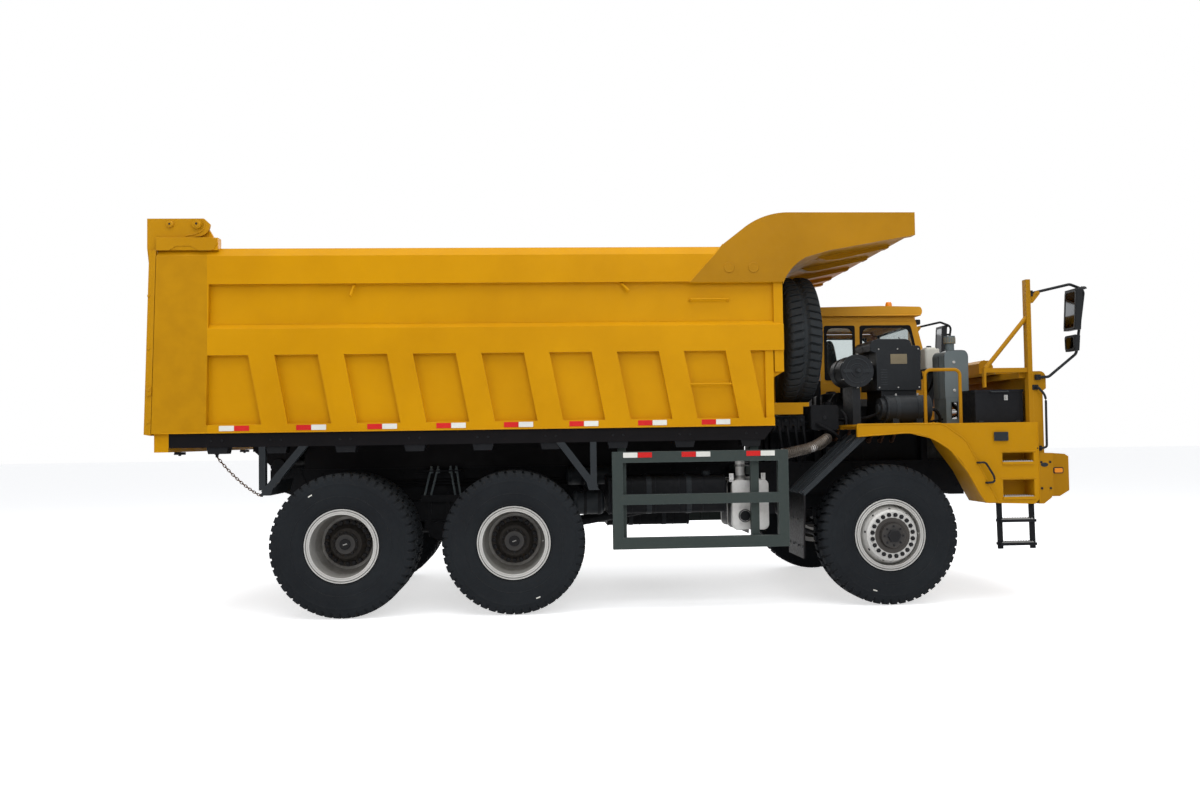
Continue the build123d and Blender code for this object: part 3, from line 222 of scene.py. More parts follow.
finishKeys = ("tone", "shade", "edge", "dust", "rough", "grain", "bump", "dusty", "gloss")
finishRows = {
    # first line: main colour, second tone, worn edge and dust
    # second line: roughness low and high, grain size, bump, how dusty, gloss, and what only few finishes have
    "yellowPaint": (
        (197, 140, 4), (187, 131, 3), (210, 156, 36), (180, 134, 42),
        (0.34, 0.5), 9, 0.05, 0.1, 0.07),
    # darker copy of yellowPaint: painted shade on the tail post, tailgate, fenders, hinges, gate welds and
    # spare carrier
    "shadedYellowPaint": (
        (181, 129, 10), (173, 122, 9), (202, 150, 52), (168, 132, 70),
        (0.36, 0.52), 9, 0.05, 0.12, 0.07),
    # still darker copy of yellowPaint: painted shade on the canopy, bumper, front rails, cowl, front deck and
    # their fittings
    "deepShadedYellowPaint": (
        (166, 117, 16), (154, 108, 14), (186, 138, 46), (154, 120, 60),
        (0.36, 0.52), 9, 0.05, 0.12, 0.07),
    "cabPaint": (
        (212, 154, 46), (200, 143, 40), (222, 172, 76), (184, 148, 84),
        (0.34, 0.5), 9, 0.05, 0.1, 0.08),
    "guardGrey": (
        (53, 60, 58), (52, 60, 58), (104, 112, 112), (98, 98, 92),
        (0.4, 0.58), 14, 0.08, 0.1, 0.12),
    "chassisBlack": (
        (26, 27, 30), (19, 20, 22), (56, 57, 61), (56, 54, 50),
        (0.44, 0.68), 22, 0.12, 0.14, 0.08),
    "sillBlack": (
        (16, 14, 16), (12, 11, 13), (34, 33, 35), (38, 36, 34),
        (0.6, 0.8), 22, 0.12, 0.1, 0.04),
    "engineBlack": (
        (34, 36, 39), (26, 27, 30), (70, 72, 76), (66, 64, 60),
        (0.4, 0.62), 30, 0.2, 0.14, 0.1),
    "deckBlack": (
        (41, 45, 48), (34, 37, 40), (72, 76, 80), (72, 72, 70),
        (0.38, 0.56), 40, 0.1, 0.1, 0.12),
    "intakeBlack": (
        (25, 27, 30), (34, 37, 40), (72, 76, 80), (72, 72, 70),
        (0.38, 0.56), 40, 0.1, 0.1, 0.12),
    "tyreRubber": (
        (34, 37, 40), (28, 30, 33), (52, 54, 56), (66, 62, 56),
        (0.66, 0.86), 60, 0.25, 0.1, 0.06),
    # paler copy of tyreRubber: painted light on the spare tyre, which hangs in shade
    "spareRubberPaintedLight": (
        (58, 62, 65), (47, 51, 54), (74, 77, 79), (84, 80, 74),
        (0.66, 0.86), 60, 0.25, 0.1, 0.06),
    "rimSilver": (
        (200, 199, 196), (176, 175, 171), (224, 224, 222), (128, 119, 106),
        (0.34, 0.5), 40, 0.1, 0.2, 0.3, {"metal": 0.15}),
    "hubBlack": (
        (26, 26, 28), (20, 20, 22), (70, 70, 73), (58, 55, 50),
        (0.38, 0.58), 30, 0.15, 0.14, 0.12),
    "blackPlastic": (
        (30, 32, 34), (24, 25, 27), (50, 52, 54), (60, 59, 56),
        (0.42, 0.58), 180, 0.15, 0.08, 0.12),
    "silencerCoat": (
        (236, 235, 233), (216, 214, 210), (226, 226, 224), (130, 116, 96),
        (0.4, 0.6), 34, 0.18, 0.25, 0.3, {"metal": 0.15}),
    "tankGrey": (
        (100, 109, 111), (90, 99, 101), (116, 124, 128), (104, 106, 104),
        (0.36, 0.54), 18, 0.08, 0.12, 0.16),
    "chromeRod": (
        (214, 214, 216), (196, 196, 199), (235, 235, 236), (120, 112, 98),
        (0.08, 0.2), 80, 0.02, 0.06, 0.5, {"metal": 1.0}),
    "zincSteel": (
        (166, 166, 164), (132, 131, 128), (204, 204, 202), (110, 98, 80),
        (0.3, 0.5), 90, 0.1, 0.16, 0.4, {"metal": 0.6}),
    "steelPipe": (
        (112, 105, 98), (78, 71, 64), (186, 180, 172), (104, 84, 62),
        (0.34, 0.56), 50, 0.15, 0.24, 0.3, {"metal": 0.5}),
    "brassCap": (
        (120, 110, 88), (96, 88, 70), (166, 154, 126), (106, 98, 84),
        (0.4, 0.6), 70, 0.15, 0.16, 0.25, {"metal": 0.3}),
    "rustSteel": (
        (96, 66, 46), (70, 50, 38), (136, 110, 86), (92, 74, 58),
        (0.6, 0.82), 70, 0.3, 0.2, 0.15, {"metal": 0.2}),
    "seatCloth": (
        (44, 46, 50), (34, 36, 40), (60, 62, 66), (84, 82, 78),
        (0.85, 0.95), 240, 0.4, 0.08, 0.05, {"sheen": 0.3}),
    "redReflector": (
        (204, 36, 34), (188, 28, 28), (224, 66, 60), (160, 70, 56),
        (0.2, 0.34), 320, 0.2, 0.06, 0.15, {"coat": 0.06}),
    "whiteReflector": (
        (222, 222, 216), (206, 206, 200), (236, 236, 232), (184, 176, 158),
        (0.24, 0.38), 320, 0.2, 0.1, 0.15),
    "amberLens": (
        (232, 140, 22), (216, 122, 14), (242, 164, 64), (180, 130, 60),
        (0.16, 0.3), 200, 0.15, 0.06, 0.3, {"coat": 0.1}),
    "clearLens": (
        (206, 212, 216), (188, 196, 202), (232, 236, 238), (150, 146, 138),
        (0.1, 0.2), 240, 0.25, 0.06, 0.5, {"coat": 0.3}),
    "whitePlastic": (
        (222, 222, 214), (206, 204, 194), (232, 232, 226), (170, 160, 142),
        (0.4, 0.55), 60, 0.06, 0.1, 0.2),
    "mirrorFace": (
        (42, 45, 48), (36, 39, 42), (96, 100, 104), (80, 80, 78),
        (0.02, 0.06), 90, 0.0, 0.05, 0.5, {"metal": 1.0}),
    "windowRubber": (
        (24, 24, 25), (18, 18, 19), (40, 40, 41), (56, 54, 52),
        (0.6, 0.76), 150, 0.1, 0.06, 0.08),
}


def recipeOf(row):
    recipe = dict(zip(finishKeys, row))
    if len(row) > len(finishKeys):
        recipe.update(row[-1])
    return recipe


finishes = {name: recipeOf(row) for name, row in finishRows.items()}


def finishMaterial(name, recipe):
    # two tones by broad noise, dust on what faces up, bright worn edges, fine grain in bump
    material, tree, shader = newMaterial(name)
    link = tree.links.new
    place = node(tree, "TexCoord").outputs["Object"]
    broad = noise(tree, place, 1.3, 5.0, 0.6)
    fine = noise(tree, place, float(recipe["grain"]), 4.0, 0.6)
    speck = noise(tree, place, 26.0, 3.0, 0.7)
    colour = mixColour(tree, ramp(tree, broad, 0.35, 0.68), srgb(*recipe["tone"]), srgb(*recipe["shade"]))
    normal = node(tree, "NewGeometry").outputs
    axes = node(tree, "SeparateXYZ")
    link(normal["True Normal"], axes.inputs[0])
    upward = ramp(tree, axes.outputs["Z"], 0.2, 0.95)
    settled = fed(node(tree, "Math", operation="MULTIPLY"), upward, ramp(tree, speck, 0.36, 0.66, 0.25, 1.0))
    film = node(tree, "Math", operation="MULTIPLY_ADD")
    film.inputs[1].default_value = recipe["dusty"] * 1.6
    link(settled, film.inputs[0])
    link(ramp(tree, speck, 0.45, 0.75, 0.0, recipe["dusty"] * 0.5), film.inputs[2])
    # wear: the rounded normal leaves the true one near an edge
    soft = node(tree, "Bevel", samples=4, Radius=0.006)
    facing = node(tree, "VectorMath", operation="DOT_PRODUCT")
    fed(facing, soft.outputs[0], normal["Normal"])
    edge = ramp(tree, facing.outputs["Value"], 0.97, 0.80)
    worn = fed(node(tree, "Math", operation="MULTIPLY"), edge, ramp(tree, speck, 0.3, 0.62, 0.15, 0.8))
    colour = mixColour(tree, worn, colour, srgb(*recipe["edge"]))
    colour = mixColour(tree, film.outputs[0], colour, srgb(*recipe["dust"]))
    link(colour, shader.inputs["Base Color"])
    link(ramp(tree, fine, 0.3, 0.7, *recipe["rough"]), shader.inputs["Roughness"])
    grain(tree, shader, fine, max(recipe["bump"], 0.01), 0.004)
    setSockets(shader, {"Metallic": recipe.get("metal", 0.0), "Specular IOR Level": recipe["gloss"],
                        "Coat Weight": recipe.get("coat", 0.0), "Coat Roughness": 0.12,
                        "Sheen Weight": recipe.get("sheen", 0.0)})
    return material


materials = {name: finishMaterial(name, recipe) for name, recipe in finishes.items()}


def zonedMaterial(name, first, second, limits):
    # first finish outside, second inside the limits: rows of (axis, low, high) in the part's own space
    material = finishMaterial(name, finishes[first])
    tree = material.node_tree
    shader = tree.nodes["Principled BSDF"]
    place = node(tree, "TexCoord").outputs["Object"]
    axes = node(tree, "SeparateXYZ")
    fed(axes, place)
    blend = 0.001
    shares = []
    for axis, low, high in limits:
        shares.append(ramp(tree, axes.outputs[axis], low, low + blend))
        shares.append(ramp(tree, axes.outputs[axis], high, high + blend, 1.0, 0.0))
    inside = shares[0]
    for share in shares[1:]:
        inside = fed(node(tree, "Math", operation="MULTIPLY"), inside, share)
    other = finishes[second]
    patches = ramp(tree, noise(tree, place, 7.0, 5.0), 0.35, 0.65)
    colour = mixColour(tree, patches, srgb(*other["tone"]), srgb(*other["shade"]))
    own = shader.inputs["Base Color"].links[0].from_socket
    tree.links.new(mixColour(tree, inside, own, colour), shader.inputs["Base Color"])
    return material


def glassMaterial(name, tint, clear):
    # window glass: mostly see-through, with a gloss that grows at a slant and a film of dust
    material, tree, shader = newMaterial(name)
    link = tree.links.new
    film = noise(tree, node(tree, "TexCoord").outputs["Object"], 3.0, 5.0)
    colour = mixColour(tree, ramp(tree, film, 0.4, 0.7), srgb(*tint), srgb(*[t * 0.8 for t in tint]))
    link(colour, shader.inputs["Base Color"])
    link(ramp(tree, film, 0.3, 0.7, 0.03, 0.1), shader.inputs["Roughness"])
    grain(tree, shader, film, 0.02, 0.002)
    shader.inputs["Specular IOR Level"].default_value = 0.6
    through = node(tree, "BsdfTransparent", Color=(0.94, 0.965, 0.965, 1))
    slant = ramp(tree, node(tree, "LayerWeight", Blend=0.25).outputs["Facing"], 0.0, 1.0, 1 - clear, 0.6)
    surface = fed(node(tree, "MixShader"), slant, through.outputs[0], shader.outputs[0])
    link(surface, outputOf(tree, "OUTPUT_MATERIAL").inputs["Surface"])
    return material


materials["cabGlass"] = glassMaterial("cabGlass", (70, 80, 84), 0.93)


def wheelMaterial(name, x, z, hubReach, dirtAndShadeReach, inner, outer):
    # silver rim with a black hub inside hubReach of the axle
    # the darkening is dirt and painted shade, as strong as inner up to dirtAndShadeReach and as outer past
    # it; on the rear rims it is painted shade in the recessed barrel, with dirt
    material = finishMaterial(name, finishes["rimSilver"])
    tree = material.node_tree
    shader = tree.nodes["Principled BSDF"]
    place = node(tree, "TexCoord").outputs["Object"]
    away = node(tree, "VectorMath", operation="SUBTRACT")
    away.inputs[1].default_value = (x, 0, z)
    flat = node(tree, "VectorMath", operation="MULTIPLY")
    flat.inputs[1].default_value = (1, 0, 1)
    length = node(tree, "VectorMath", operation="LENGTH")
    fed(length, fed(flat, fed(away, place)))
    reach = length.outputs["Value"]
    silver = shader.inputs["Base Color"].links[0].from_socket
    dark = mixColour(tree, ramp(tree, reach, 0.05, 0.2), srgb(36, 35, 35), srgb(62, 58, 54))
    dirtAndShade = ramp(tree, reach, dirtAndShadeReach - 0.012, dirtAndShadeReach, inner, outer)
    patchy = ramp(tree, noise(tree, place, 9.0, 5.0, 0.65), 0.3, 0.7, 0.75, 1.0)
    grimeAndShade = fed(node(tree, "Math", operation="MULTIPLY"), dirtAndShade, patchy)
    soiledAndShaded = mixColour(tree, grimeAndShade, silver, srgb(74, 69, 63))
    outside = ramp(tree, reach, hubReach - 0.002, hubReach + 0.002)
    tree.links.new(mixColour(tree, outside, dark, soiledAndShaded), shader.inputs["Base Color"])
    return material


for axle, x in axleX.items():
    # rear rims: strong darkening inside the barrel, painted shade with dirt; front rims: weak inside and
    # stronger on the outer lip
    reaches = (0.1745, 0.308, 0.02, 0.4) if axle == "front" else (0.234, 0.304, 0.8, 0.25)
    materials[axle + "Rim"] = wheelMaterial(axle + "Rim", x, wheelZ, *reaches)
print("finishes made:", len(materials))


# ---- CAD nodes take their finishes

far = 9.0
materials["floorPaint"] = zonedMaterial("floorPaint", "yellowPaint", "sillBlack",
                                        [("X", -4.385, far), ("Z", 0, 1.7895)])
# the tail post end of each side takes the darker yellow copy inside the limits, painted shade
materials["sidePaint"] = zonedMaterial("sidePaint", "yellowPaint", "shadedYellowPaint",
                                       [("X", -far, -4.01), ("Z", 0, far)])
materials["silencerPaint"] = zonedMaterial("silencerPaint", "silencerCoat", "chassisBlack",
                                           [("Y", -1.30, far)])
materials["flapPaint"] = zonedMaterial("flapPaint", "deckBlack", "sillBlack", [("Z", 0, 1.10)])
# the front deck's upper part takes the still darker yellow copy, painted shade
materials["deckPaint"] = zonedMaterial("deckPaint", "deepShadedYellowPaint", "chassisBlack", [("Z", 0, 1.744)])
# the spare carrier's upper part takes the darker yellow copy, painted shade; below the limit it is black
materials["carrierPaint"] = zonedMaterial("carrierPaint", "shadedYellowPaint", "chassisBlack", [("Z", 0, 1.905)])

nodeFinish = {
    "sidePaint": ["body_side_left", "body_side_right"],
    "yellowPaint": ["body_front_wall"],
    "floorPaint": ["body_floor"],
    # the tailgate and fenders take the darker yellow copy, painted shade
    "shadedYellowPaint": ["tailgate", "fender_right", "fender_left"],
    "deckPaint": ["front_deck"],
    # bumper, rails, cowl and canopy take the still darker yellow copy, painted shade
    "deepShadedYellowPaint": ["front_bumper", "front_rails", "front_cowl", "body_canopy"],
    "cabPaint": ["cab_shell", "cab_roof", "cab_door"],
    "carrierPaint": ["spare_carrier"],
    "guardGrey": ["side_guards"],
    "chassisBlack": ["chassis_frame", "rear_springs", "drive_axles", "drive_shafts", "front_axle",
                     "front_springs",
                     "step_ladders", "side_tanks", "hoist_barrels", "battery_box",
                     "knuckle_left", "knuckle_right", "tie_rod", "radiator"],
    "engineBlack": ["engine_block"],
    "deckBlack": ["body_mudguards"],
    "flapPaint": ["mudguards"],
    "intakeBlack": ["air_intake", "air_drum"],
    "tankGrey": ["expansion_tank"],
    "blackPlastic": ["mirrors", "dashboard"],
    "clearLens": ["headlamps"],
    "silencerPaint": ["silencer"],
    "rimSilver": ["spare_rim"],
    "cabGlass": ["cab_glass", "door_glass"],
    "seatCloth": ["driver_seat"],
    "chromeRod": ["hoist_rams"],
    "zincSteel": ["hoist_stages"],
    "tyreRubber": ["spare_tyre"],
    "frontRim": ["front_rim_left", "front_rim_right"],
    "midRim": ["mid_rims_left", "mid_rims_right"],
    "rearRim": ["rear_rims_left", "rear_rims_right"],
}
for finish, members in nodeFinish.items():
    for member in members:
        nodes[member].data.materials.clear()
        nodes[member].data.materials.append(materials[finish])


# ---- making meshes


class Bench:
    # collects points and faces of one piece, then makes it one object
    # smooth is the sharpest angle, in degrees, that is shaded round
    def __init__(self):
        self.points, self.faces, self.count = [], [], 0

    def add(self, points, faces):
        points = np.asarray(points, float).reshape(-1, 3)
        self.points.append(points)
        self.faces += [tuple(int(i) + self.count for i in face) for face in faces]
        self.count += len(points)
        return self

    def make(self, name, finish, body="chassis", smooth=0, bevel=0.0, slot=None, merge=1e-5):
        mesh = bpy.data.meshes.new(name)
        mesh.from_pydata(np.concatenate(self.points).tolist(), [], self.faces)
        work = bmesh.new()
        work.from_mesh(mesh)
        bmesh.ops.remove_doubles(work, verts=work.verts, dist=merge)
        bmesh.ops.recalc_face_normals(work, faces=work.faces)
        work.to_mesh(mesh)
        work.free()
        mesh.materials.append(materials[finish])
        piece = bpy.data.objects.new(name, mesh)
        bpy.context.scene.collection.objects.link(piece)
        if bevel:
            rounding = piece.modifiers.new("edges", "BEVEL")
            rounding.width = bevel
            rounding.segments = 2
            rounding.limit_method = "ANGLE"
            rounding.angle_limit = math.radians(40)
        if smooth:
            mesh.shade_smooth()
            mesh.set_sharp_from_angle(angle=math.radians(smooth))
        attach(piece, body)
        return piece


def benches(count):
    return [Bench() for _ in range(count)]


def gridFaces(rows, columns, loopRows=False, loopColumns=False):
    # quads between neighbouring points of a rows x columns grid
    r = np.arange(rows if loopRows else rows - 1)
    c = np.arange(columns if loopColumns else columns - 1)
    r, c = np.meshgrid(r, c, indexing="ij")
    r1, c1 = (r + 1) % rows, (c + 1) % columns
    corners = [r * columns + c, r * columns + c1, r1 * columns + c1, r1 * columns + c]
    return np.stack(corners, -1).reshape(-1, 4)


def turned(profile, centre, steps=48, axis="y", closed=True):
    # profile rows (radius, along) turned about an axis through centre:
    # point = centre + radius (cos a, sin a) across the axis + along on it
    profile = np.asarray(profile, float)
    a = np.linspace(0, 2 * math.pi, steps, endpoint=False)
    r, t = profile[:, 0][None, :], profile[:, 1][None, :]
    c, s = np.cos(a)[:, None], np.sin(a)[:, None]
    first, second, along = r * c, r * s, t + 0 * c
    order = {"y": (first, along, second), "x": (along, first, second), "z": (first, second, along)}[axis]
    points = np.stack(order, -1) + np.asarray(centre, float)
    return points.reshape(-1, 3), gridFaces(steps, len(profile), True, closed)


def carried(section, path, closedPath=False, scale=1.0):
    # a closed section carried along a path; its two axes stay square to the path's direction, scale sizes it
    section, path = np.asarray(section, float), np.asarray(path, float)
    ahead = np.gradient(path, axis=0) if not closedPath else np.roll(path, -1, 0) - np.roll(path, 1, 0)
    ahead /= np.linalg.norm(ahead, axis=1)[:, None]
    start = np.array([0, 0, 1.0]) if abs(ahead[0][2]) < 0.9 else np.array([1.0, 0, 0])
    side = np.cross(ahead, start)
    side /= np.linalg.norm(side, axis=1)[:, None]
    up = np.cross(side, ahead)
    scale = np.broadcast_to(scale, len(path))[:, None, None]
    points = (path[:, None, :] + scale * section[None, :, 0, None] * side[:, None, :]
              + scale * section[None, :, 1, None] * up[:, None, :])
    n, m = len(path), len(section)
    faces = [tuple(f) for f in gridFaces(n, m, closedPath, True)]
    if not closedPath:
        faces += [tuple(range(m)), tuple(range((n - 1) * m, n * m))]
    return points.reshape(-1, 3), faces


def ring(radius, count=12, phase=0.0):
    # points of a circle, radius (cos a, sin a)
    a = np.linspace(0, 2 * math.pi, count, endpoint=False) + phase
    return np.stack([radius * np.cos(a), radius * np.sin(a)], -1)


def rounded(width, height, radius, steps=4):
    # rectangle with corner arcs: corner centre + radius (cos a, sin a)
    w, h = width / 2 - radius, height / 2 - radius
    corners = ((w, h, 0), (-w, h, 90), (-w, -h, 180), (w, -h, 270))
    rows = []
    for x, y, turn in corners:
        a = np.radians(turn + np.linspace(0, 90, steps + 1))
        rows.append(np.stack([x + radius * np.cos(a), y + radius * np.sin(a)], -1))
    return np.concatenate(rows)


def smoothPath(points, radius, steps=5):
    # straight runs with their corners cut by arcs: quadratic blend between the two cut points
    points = [np.asarray(p, float) for p in points]
    rows = [points[0]]
    for before, corner, after in zip(points, points[1:], points[2:]):
        a, b = before - corner, after - corner
        cut = min(radius, 0.45 * np.linalg.norm(a), 0.45 * np.linalg.norm(b))
        p, q = corner + a / np.linalg.norm(a) * cut, corner + b / np.linalg.norm(b) * cut
        for t in np.linspace(0, 1, steps + 1):
            rows.append((1 - t) ** 2 * p + 2 * t * (1 - t) * corner + t * t * q)
    rows.append(points[-1])
    return np.array(rows)


def tube(bench, points, radius, bend=0.05, corners=10, steps=5):
    bench.add(*carried(ring(radius, corners), smoothPath(points, bend, steps)))


def lifted(outline, axis, level):
    # a flat outline's points, set square to axis at level
    outline = np.asarray(outline, float)
    a, b = outline[:, 0], outline[:, 1]
    level = np.full(len(outline), float(level))
    return np.stack({"x": (level, a, b), "y": (a, level, b), "z": (a, b, level)}[axis], -1)


def slabFaces(n):
    # walls between two outlines of n points, and both ends
    return [tuple(f) for f in gridFaces(2, n, False, True)] + [tuple(range(n)), tuple(range(n, 2 * n))]


def plate(bench, outline, axis, low, high):
    # closed outline in the two other axes, carried from low to high along one axis
    rows = [lifted(outline, axis, level) for level in (low, high)]
    bench.add(np.concatenate(rows), slabFaces(len(outline)))


def boxPlate(bench, x0, x1, y0, y1, z0, z1):
    plate(bench, [(x0, z0), (x1, z0), (x1, z1), (x0, z1)], "y", y0, y1)


def sided(side, near, far):
    # the two distances from the middle plane as low and high Y on that side
    return sorted((side * near, side * far))


def seam(bench, loop, axis, at, radius, corners=8):
    # rolled bead along a closed loop that stands square to axis
    bench.add(*carried(ring(radius, corners), lifted(loop, axis, at), True))


def evenly(path, step):
    # the same path with a point every step of its length
    path = np.asarray(path, float)
    run = np.concatenate([[0], np.cumsum(np.linalg.norm(np.diff(path, axis=0), axis=1))])
    at = np.linspace(0, run[-1], max(2, int(run[-1] / step) + 1))
    return np.stack([np.interp(at, run, path[:, k]) for k in range(3)], -1), at


def ribbedHose(bench, points, radius, bend, pitch=0.02, ripple=0.08, corners=12):
    # tube whose radius swells and shrinks as 1 + ripple cos(2 pi s / pitch)
    path, at = evenly(smoothPath(points, bend, 8), pitch / 4)
    bench.add(*carried(ring(radius, corners), path, scale=1 + ripple * np.cos(2 * math.pi * at / pitch)))


def weld(bench, start, end, radius=0.006, pitch=0.05):
    # weld bead: a thin tube half sunk in the joint, its radius wavering by two sines
    path, at = evenly([start, end], pitch)
    bench.add(*carried(ring(radius, 6), path, scale=1 + 0.16 * np.sin(at * 61) + 0.12 * np.sin(at * 143 + 1)))


def aimed(points, centre, direction):
    # turns a shape that stands on Z towards direction and moves it to centre
    direction = np.asarray(direction, float)
    direction = direction / np.linalg.norm(direction)
    start = np.array([0, 0, 1.0]) if abs(direction[2]) < 0.9 else np.array([1.0, 0, 0])
    side = np.cross(start, direction)
    side /= np.linalg.norm(side)
    up = np.cross(direction, side)
    return points @ np.stack([side, up, direction]) + np.asarray(centre, float)


def standing(bench, profile, centre, direction, steps, closed=False):
    # profile rows (radius, along) turned about direction, which starts at centre
    points, faces = turned(profile, (0, 0, 0), steps, "z", closed)
    bench.add(aimed(points, centre, direction), faces)


def disc(bench, centre, direction, radius, height, chamfer=None, steps=24):
    # low round boss standing on centre, its rim chamfered
    c = height * 0.3 if chamfer is None else chamfer
    profile = [(0.0, 0.0), (radius, 0.0), (radius, height - c), (radius - c, height), (0.0, height)]
    standing(bench, profile, centre, direction, steps)


def hoop(bench, centre, direction, radius, thick, steps=32, corners=8):
    # ring of round section: point = centre + (radius + thick cos b)(cos a, sin a) + thick sin b
    b = np.linspace(0, 2 * math.pi, corners, endpoint=False)
    profile = np.stack([radius + thick * np.cos(b), thick * np.sin(b)], -1)
    standing(bench, profile, centre, direction, steps, True)


def nut(bench, centre, across, height, direction, stud=0.0):
    # six-sided nut with a bevelled crown, and the end of its stud
    r = across / math.sqrt(3)
    profile = [(0.0, 0.0), (r, 0.0), (r, height * 0.78), (r * 0.86, height), (0.0, height)]
    standing(bench, profile, centre, direction, 6)
    if stud:
        rod = [(0.0, 0.0), (across * 0.3, 0.0), (across * 0.3, stud), (0.0, stud)]
        standing(bench, rod, np.asarray(centre) + np.asarray(direction) * height, direction, 8)


def circle(count, radius, first=0.0):
    # offsets of count places on a circle, starting first steps round
    for k in range(count):
        a = 2 * math.pi * (k + first) / count
        yield radius * math.cos(a), radius * math.sin(a)


def roundCorners(corners, radius, steps=5):
    # closed polygon with each corner cut by a quadratic arc
    corners = [np.asarray(c, float) for c in corners]
    rows = []
    for i, corner in enumerate(corners):
        a, b = corners[i - 1] - corner, corners[(i + 1) % len(corners)] - corner
        cut = min(radius, 0.45 * np.linalg.norm(a), 0.45 * np.linalg.norm(b))
        first, last = corner + a / np.linalg.norm(a) * cut, corner + b / np.linalg.norm(b) * cut
        for t in np.linspace(0, 1, steps + 1):
            rows.append((1 - t) ** 2 * first + 2 * t * (1 - t) * corner + t * t * last)
    return np.array(rows)


def inset(corners, distance):
    # convex polygon, listed anticlockwise, with every edge moved inwards
    corners = np.asarray(corners, float)
    edge = np.roll(corners, -1, 0) - corners
    inward = np.stack([-edge[:, 1], edge[:, 0]], -1) / np.linalg.norm(edge, axis=1)[:, None]
    rows = []
    for i in range(len(corners)):
        a, b = inward[i - 1], inward[i]
        rows.append(corners[i] + (a + b) * distance / (1 + a @ b))
    return np.array(rows)


def windowFrame(bench, corners, place, outer=0.012, inner=0.018, radius=0.085, low=-0.006, high=0.006):
    # flat rubber ring round an opening: outer and inner outlines at two depths
    # place turns (u, v, depth) to points
    rows = []
    for distance, bend, depth in ((-outer, 0.03, low), (-outer, 0.03, high), (inner, radius, high),
                                  (inner, radius, low)):
        loop = roundCorners(inset(corners, distance), bend)
        rows.append(np.array([place(u, v, depth) for u, v in loop]))
    points = np.stack(rows, 1)
    bench.add(points, gridFaces(len(points), 4, True, True))


def serrated(bench, x0, x1, y0, y1, z, pitch=0.024, height=0.012):
    # tread strip with saw teeth along X
    count = int(round((x1 - x0) / pitch))
    xs = np.linspace(x0, x1, count * 2 + 1)
    top = [(x, z + (height if i % 2 else 0.004)) for i, x in enumerate(xs)]
    plate(bench, [(x1, z), *top[::-1], (x0, z)], "y", y0, y1)


# ---- tyres

tyre = {"half": 0.1875, "lugs": 50, "depth": 0.024, "slant": 0.34}
tyreMiddle = {"front": 1.440, "outer": 1.483, "inner": 1.053}
spareTyre = {"place": (1.902, -0.5, 2.725), "depth": 0.034, "slant": 0.5}


def wheelBody(axle, tag):
    return ("wheel_front_" if axle == "front" else "wheels_" + axle + "_") + tag.lower()



def tyreShape(spec, centreY, side):
    # u runs across from bead to bead, v round the wheel; radius and width follow the section, and the surface
    # falls by depth in the gap between lugs, whose edges lean by slant times the distance from the middle
    half = spec["half"]
    section = np.array([
        (0.3185, -0.150), (0.352, -0.1515), (0.362, -0.160), (0.372, -0.166), (0.378, -0.163),
        (0.384, -0.168), (0.420, -0.178), (0.455, -0.1825), (0.472, -0.1835), (0.477, -0.1873),
        (0.482, -0.1845), (0.520, -0.1870), (0.560, -0.1862), (0.590, -0.1838), (0.596, -0.1858),
        (0.602, -0.1828), (0.628, -0.1795), (0.645, -0.1760), (0.668, -0.1665), (0.682, -0.1540),
        (0.690, -0.1380), (0.6935, -0.1150), (0.695, -0.0800), (0.695, -0.0420), (0.695, -0.0100)])
    mirrored = section[::-1] * (1, -1)
    section = np.concatenate([section, mirrored])
    r, w = section[:, 0], section[:, 1]
    # how deep a gap goes at each row of the section
    gapDepth = np.interp(np.abs(w), [0.009, 0.012, 0.115, 0.150, 0.1665, 0.176, 0.18],
                         [0.8, 1, 1, 0.9, 0.75, 0.45, 0])
    gapDepth = np.where(r < 0.64, 0.0, gapDepth) * spec["depth"]
    lug = np.array([0.0, 0.035, 0.70, 0.735, 0.86])
    inGap = np.array([1.0, 0.0, 0.0, 1.0, 1.0])
    count = spec["lugs"]
    v = (np.arange(count)[:, None] + lug[None, :]).reshape(-1)
    drop = np.tile(inGap, count)
    lean = spec["slant"] * np.abs(w) / half + np.where(w < 0, 0.5, 0.0) * (np.abs(w) > 0.011)
    swing = np.where(np.abs(w) < 0.02, 0.25, 0.0)
    angle = 2 * math.pi * (v[:, None] + (lean + swing)[None, :] * (r > 0.6)) / count * side
    middle = np.abs(w) < 0.011
    fall = drop[:, None] * gapDepth[None, :]
    fall = np.where(middle[None, :], spec["depth"] * 0.75, fall)
    radius = r[None, :] - fall * np.interp(np.abs(w), [0.12, 0.176], [1.0, 0.35])[None, :]
    width = w[None, :] - np.sign(w)[None, :] * fall * np.interp(np.abs(w), [0.13, 0.17], [0.0, 0.6])[None, :]
    points = np.stack([radius * np.cos(angle), width + centreY, radius * np.sin(angle)], -1)
    return points.reshape(-1, 3), gridFaces(len(v), len(section), True, True)


def makeTyre(name, finish, body, middles, place, side, spec=tyre, swap=(0, 1, 2)):
    bench = Bench()
    for centreY in middles:
        points, faces = tyreShape(spec, side * centreY, side)
        bench.add(points[:, swap] + place, faces)
    return bench.make(name, finish, body, smooth=28, slot="tyre")


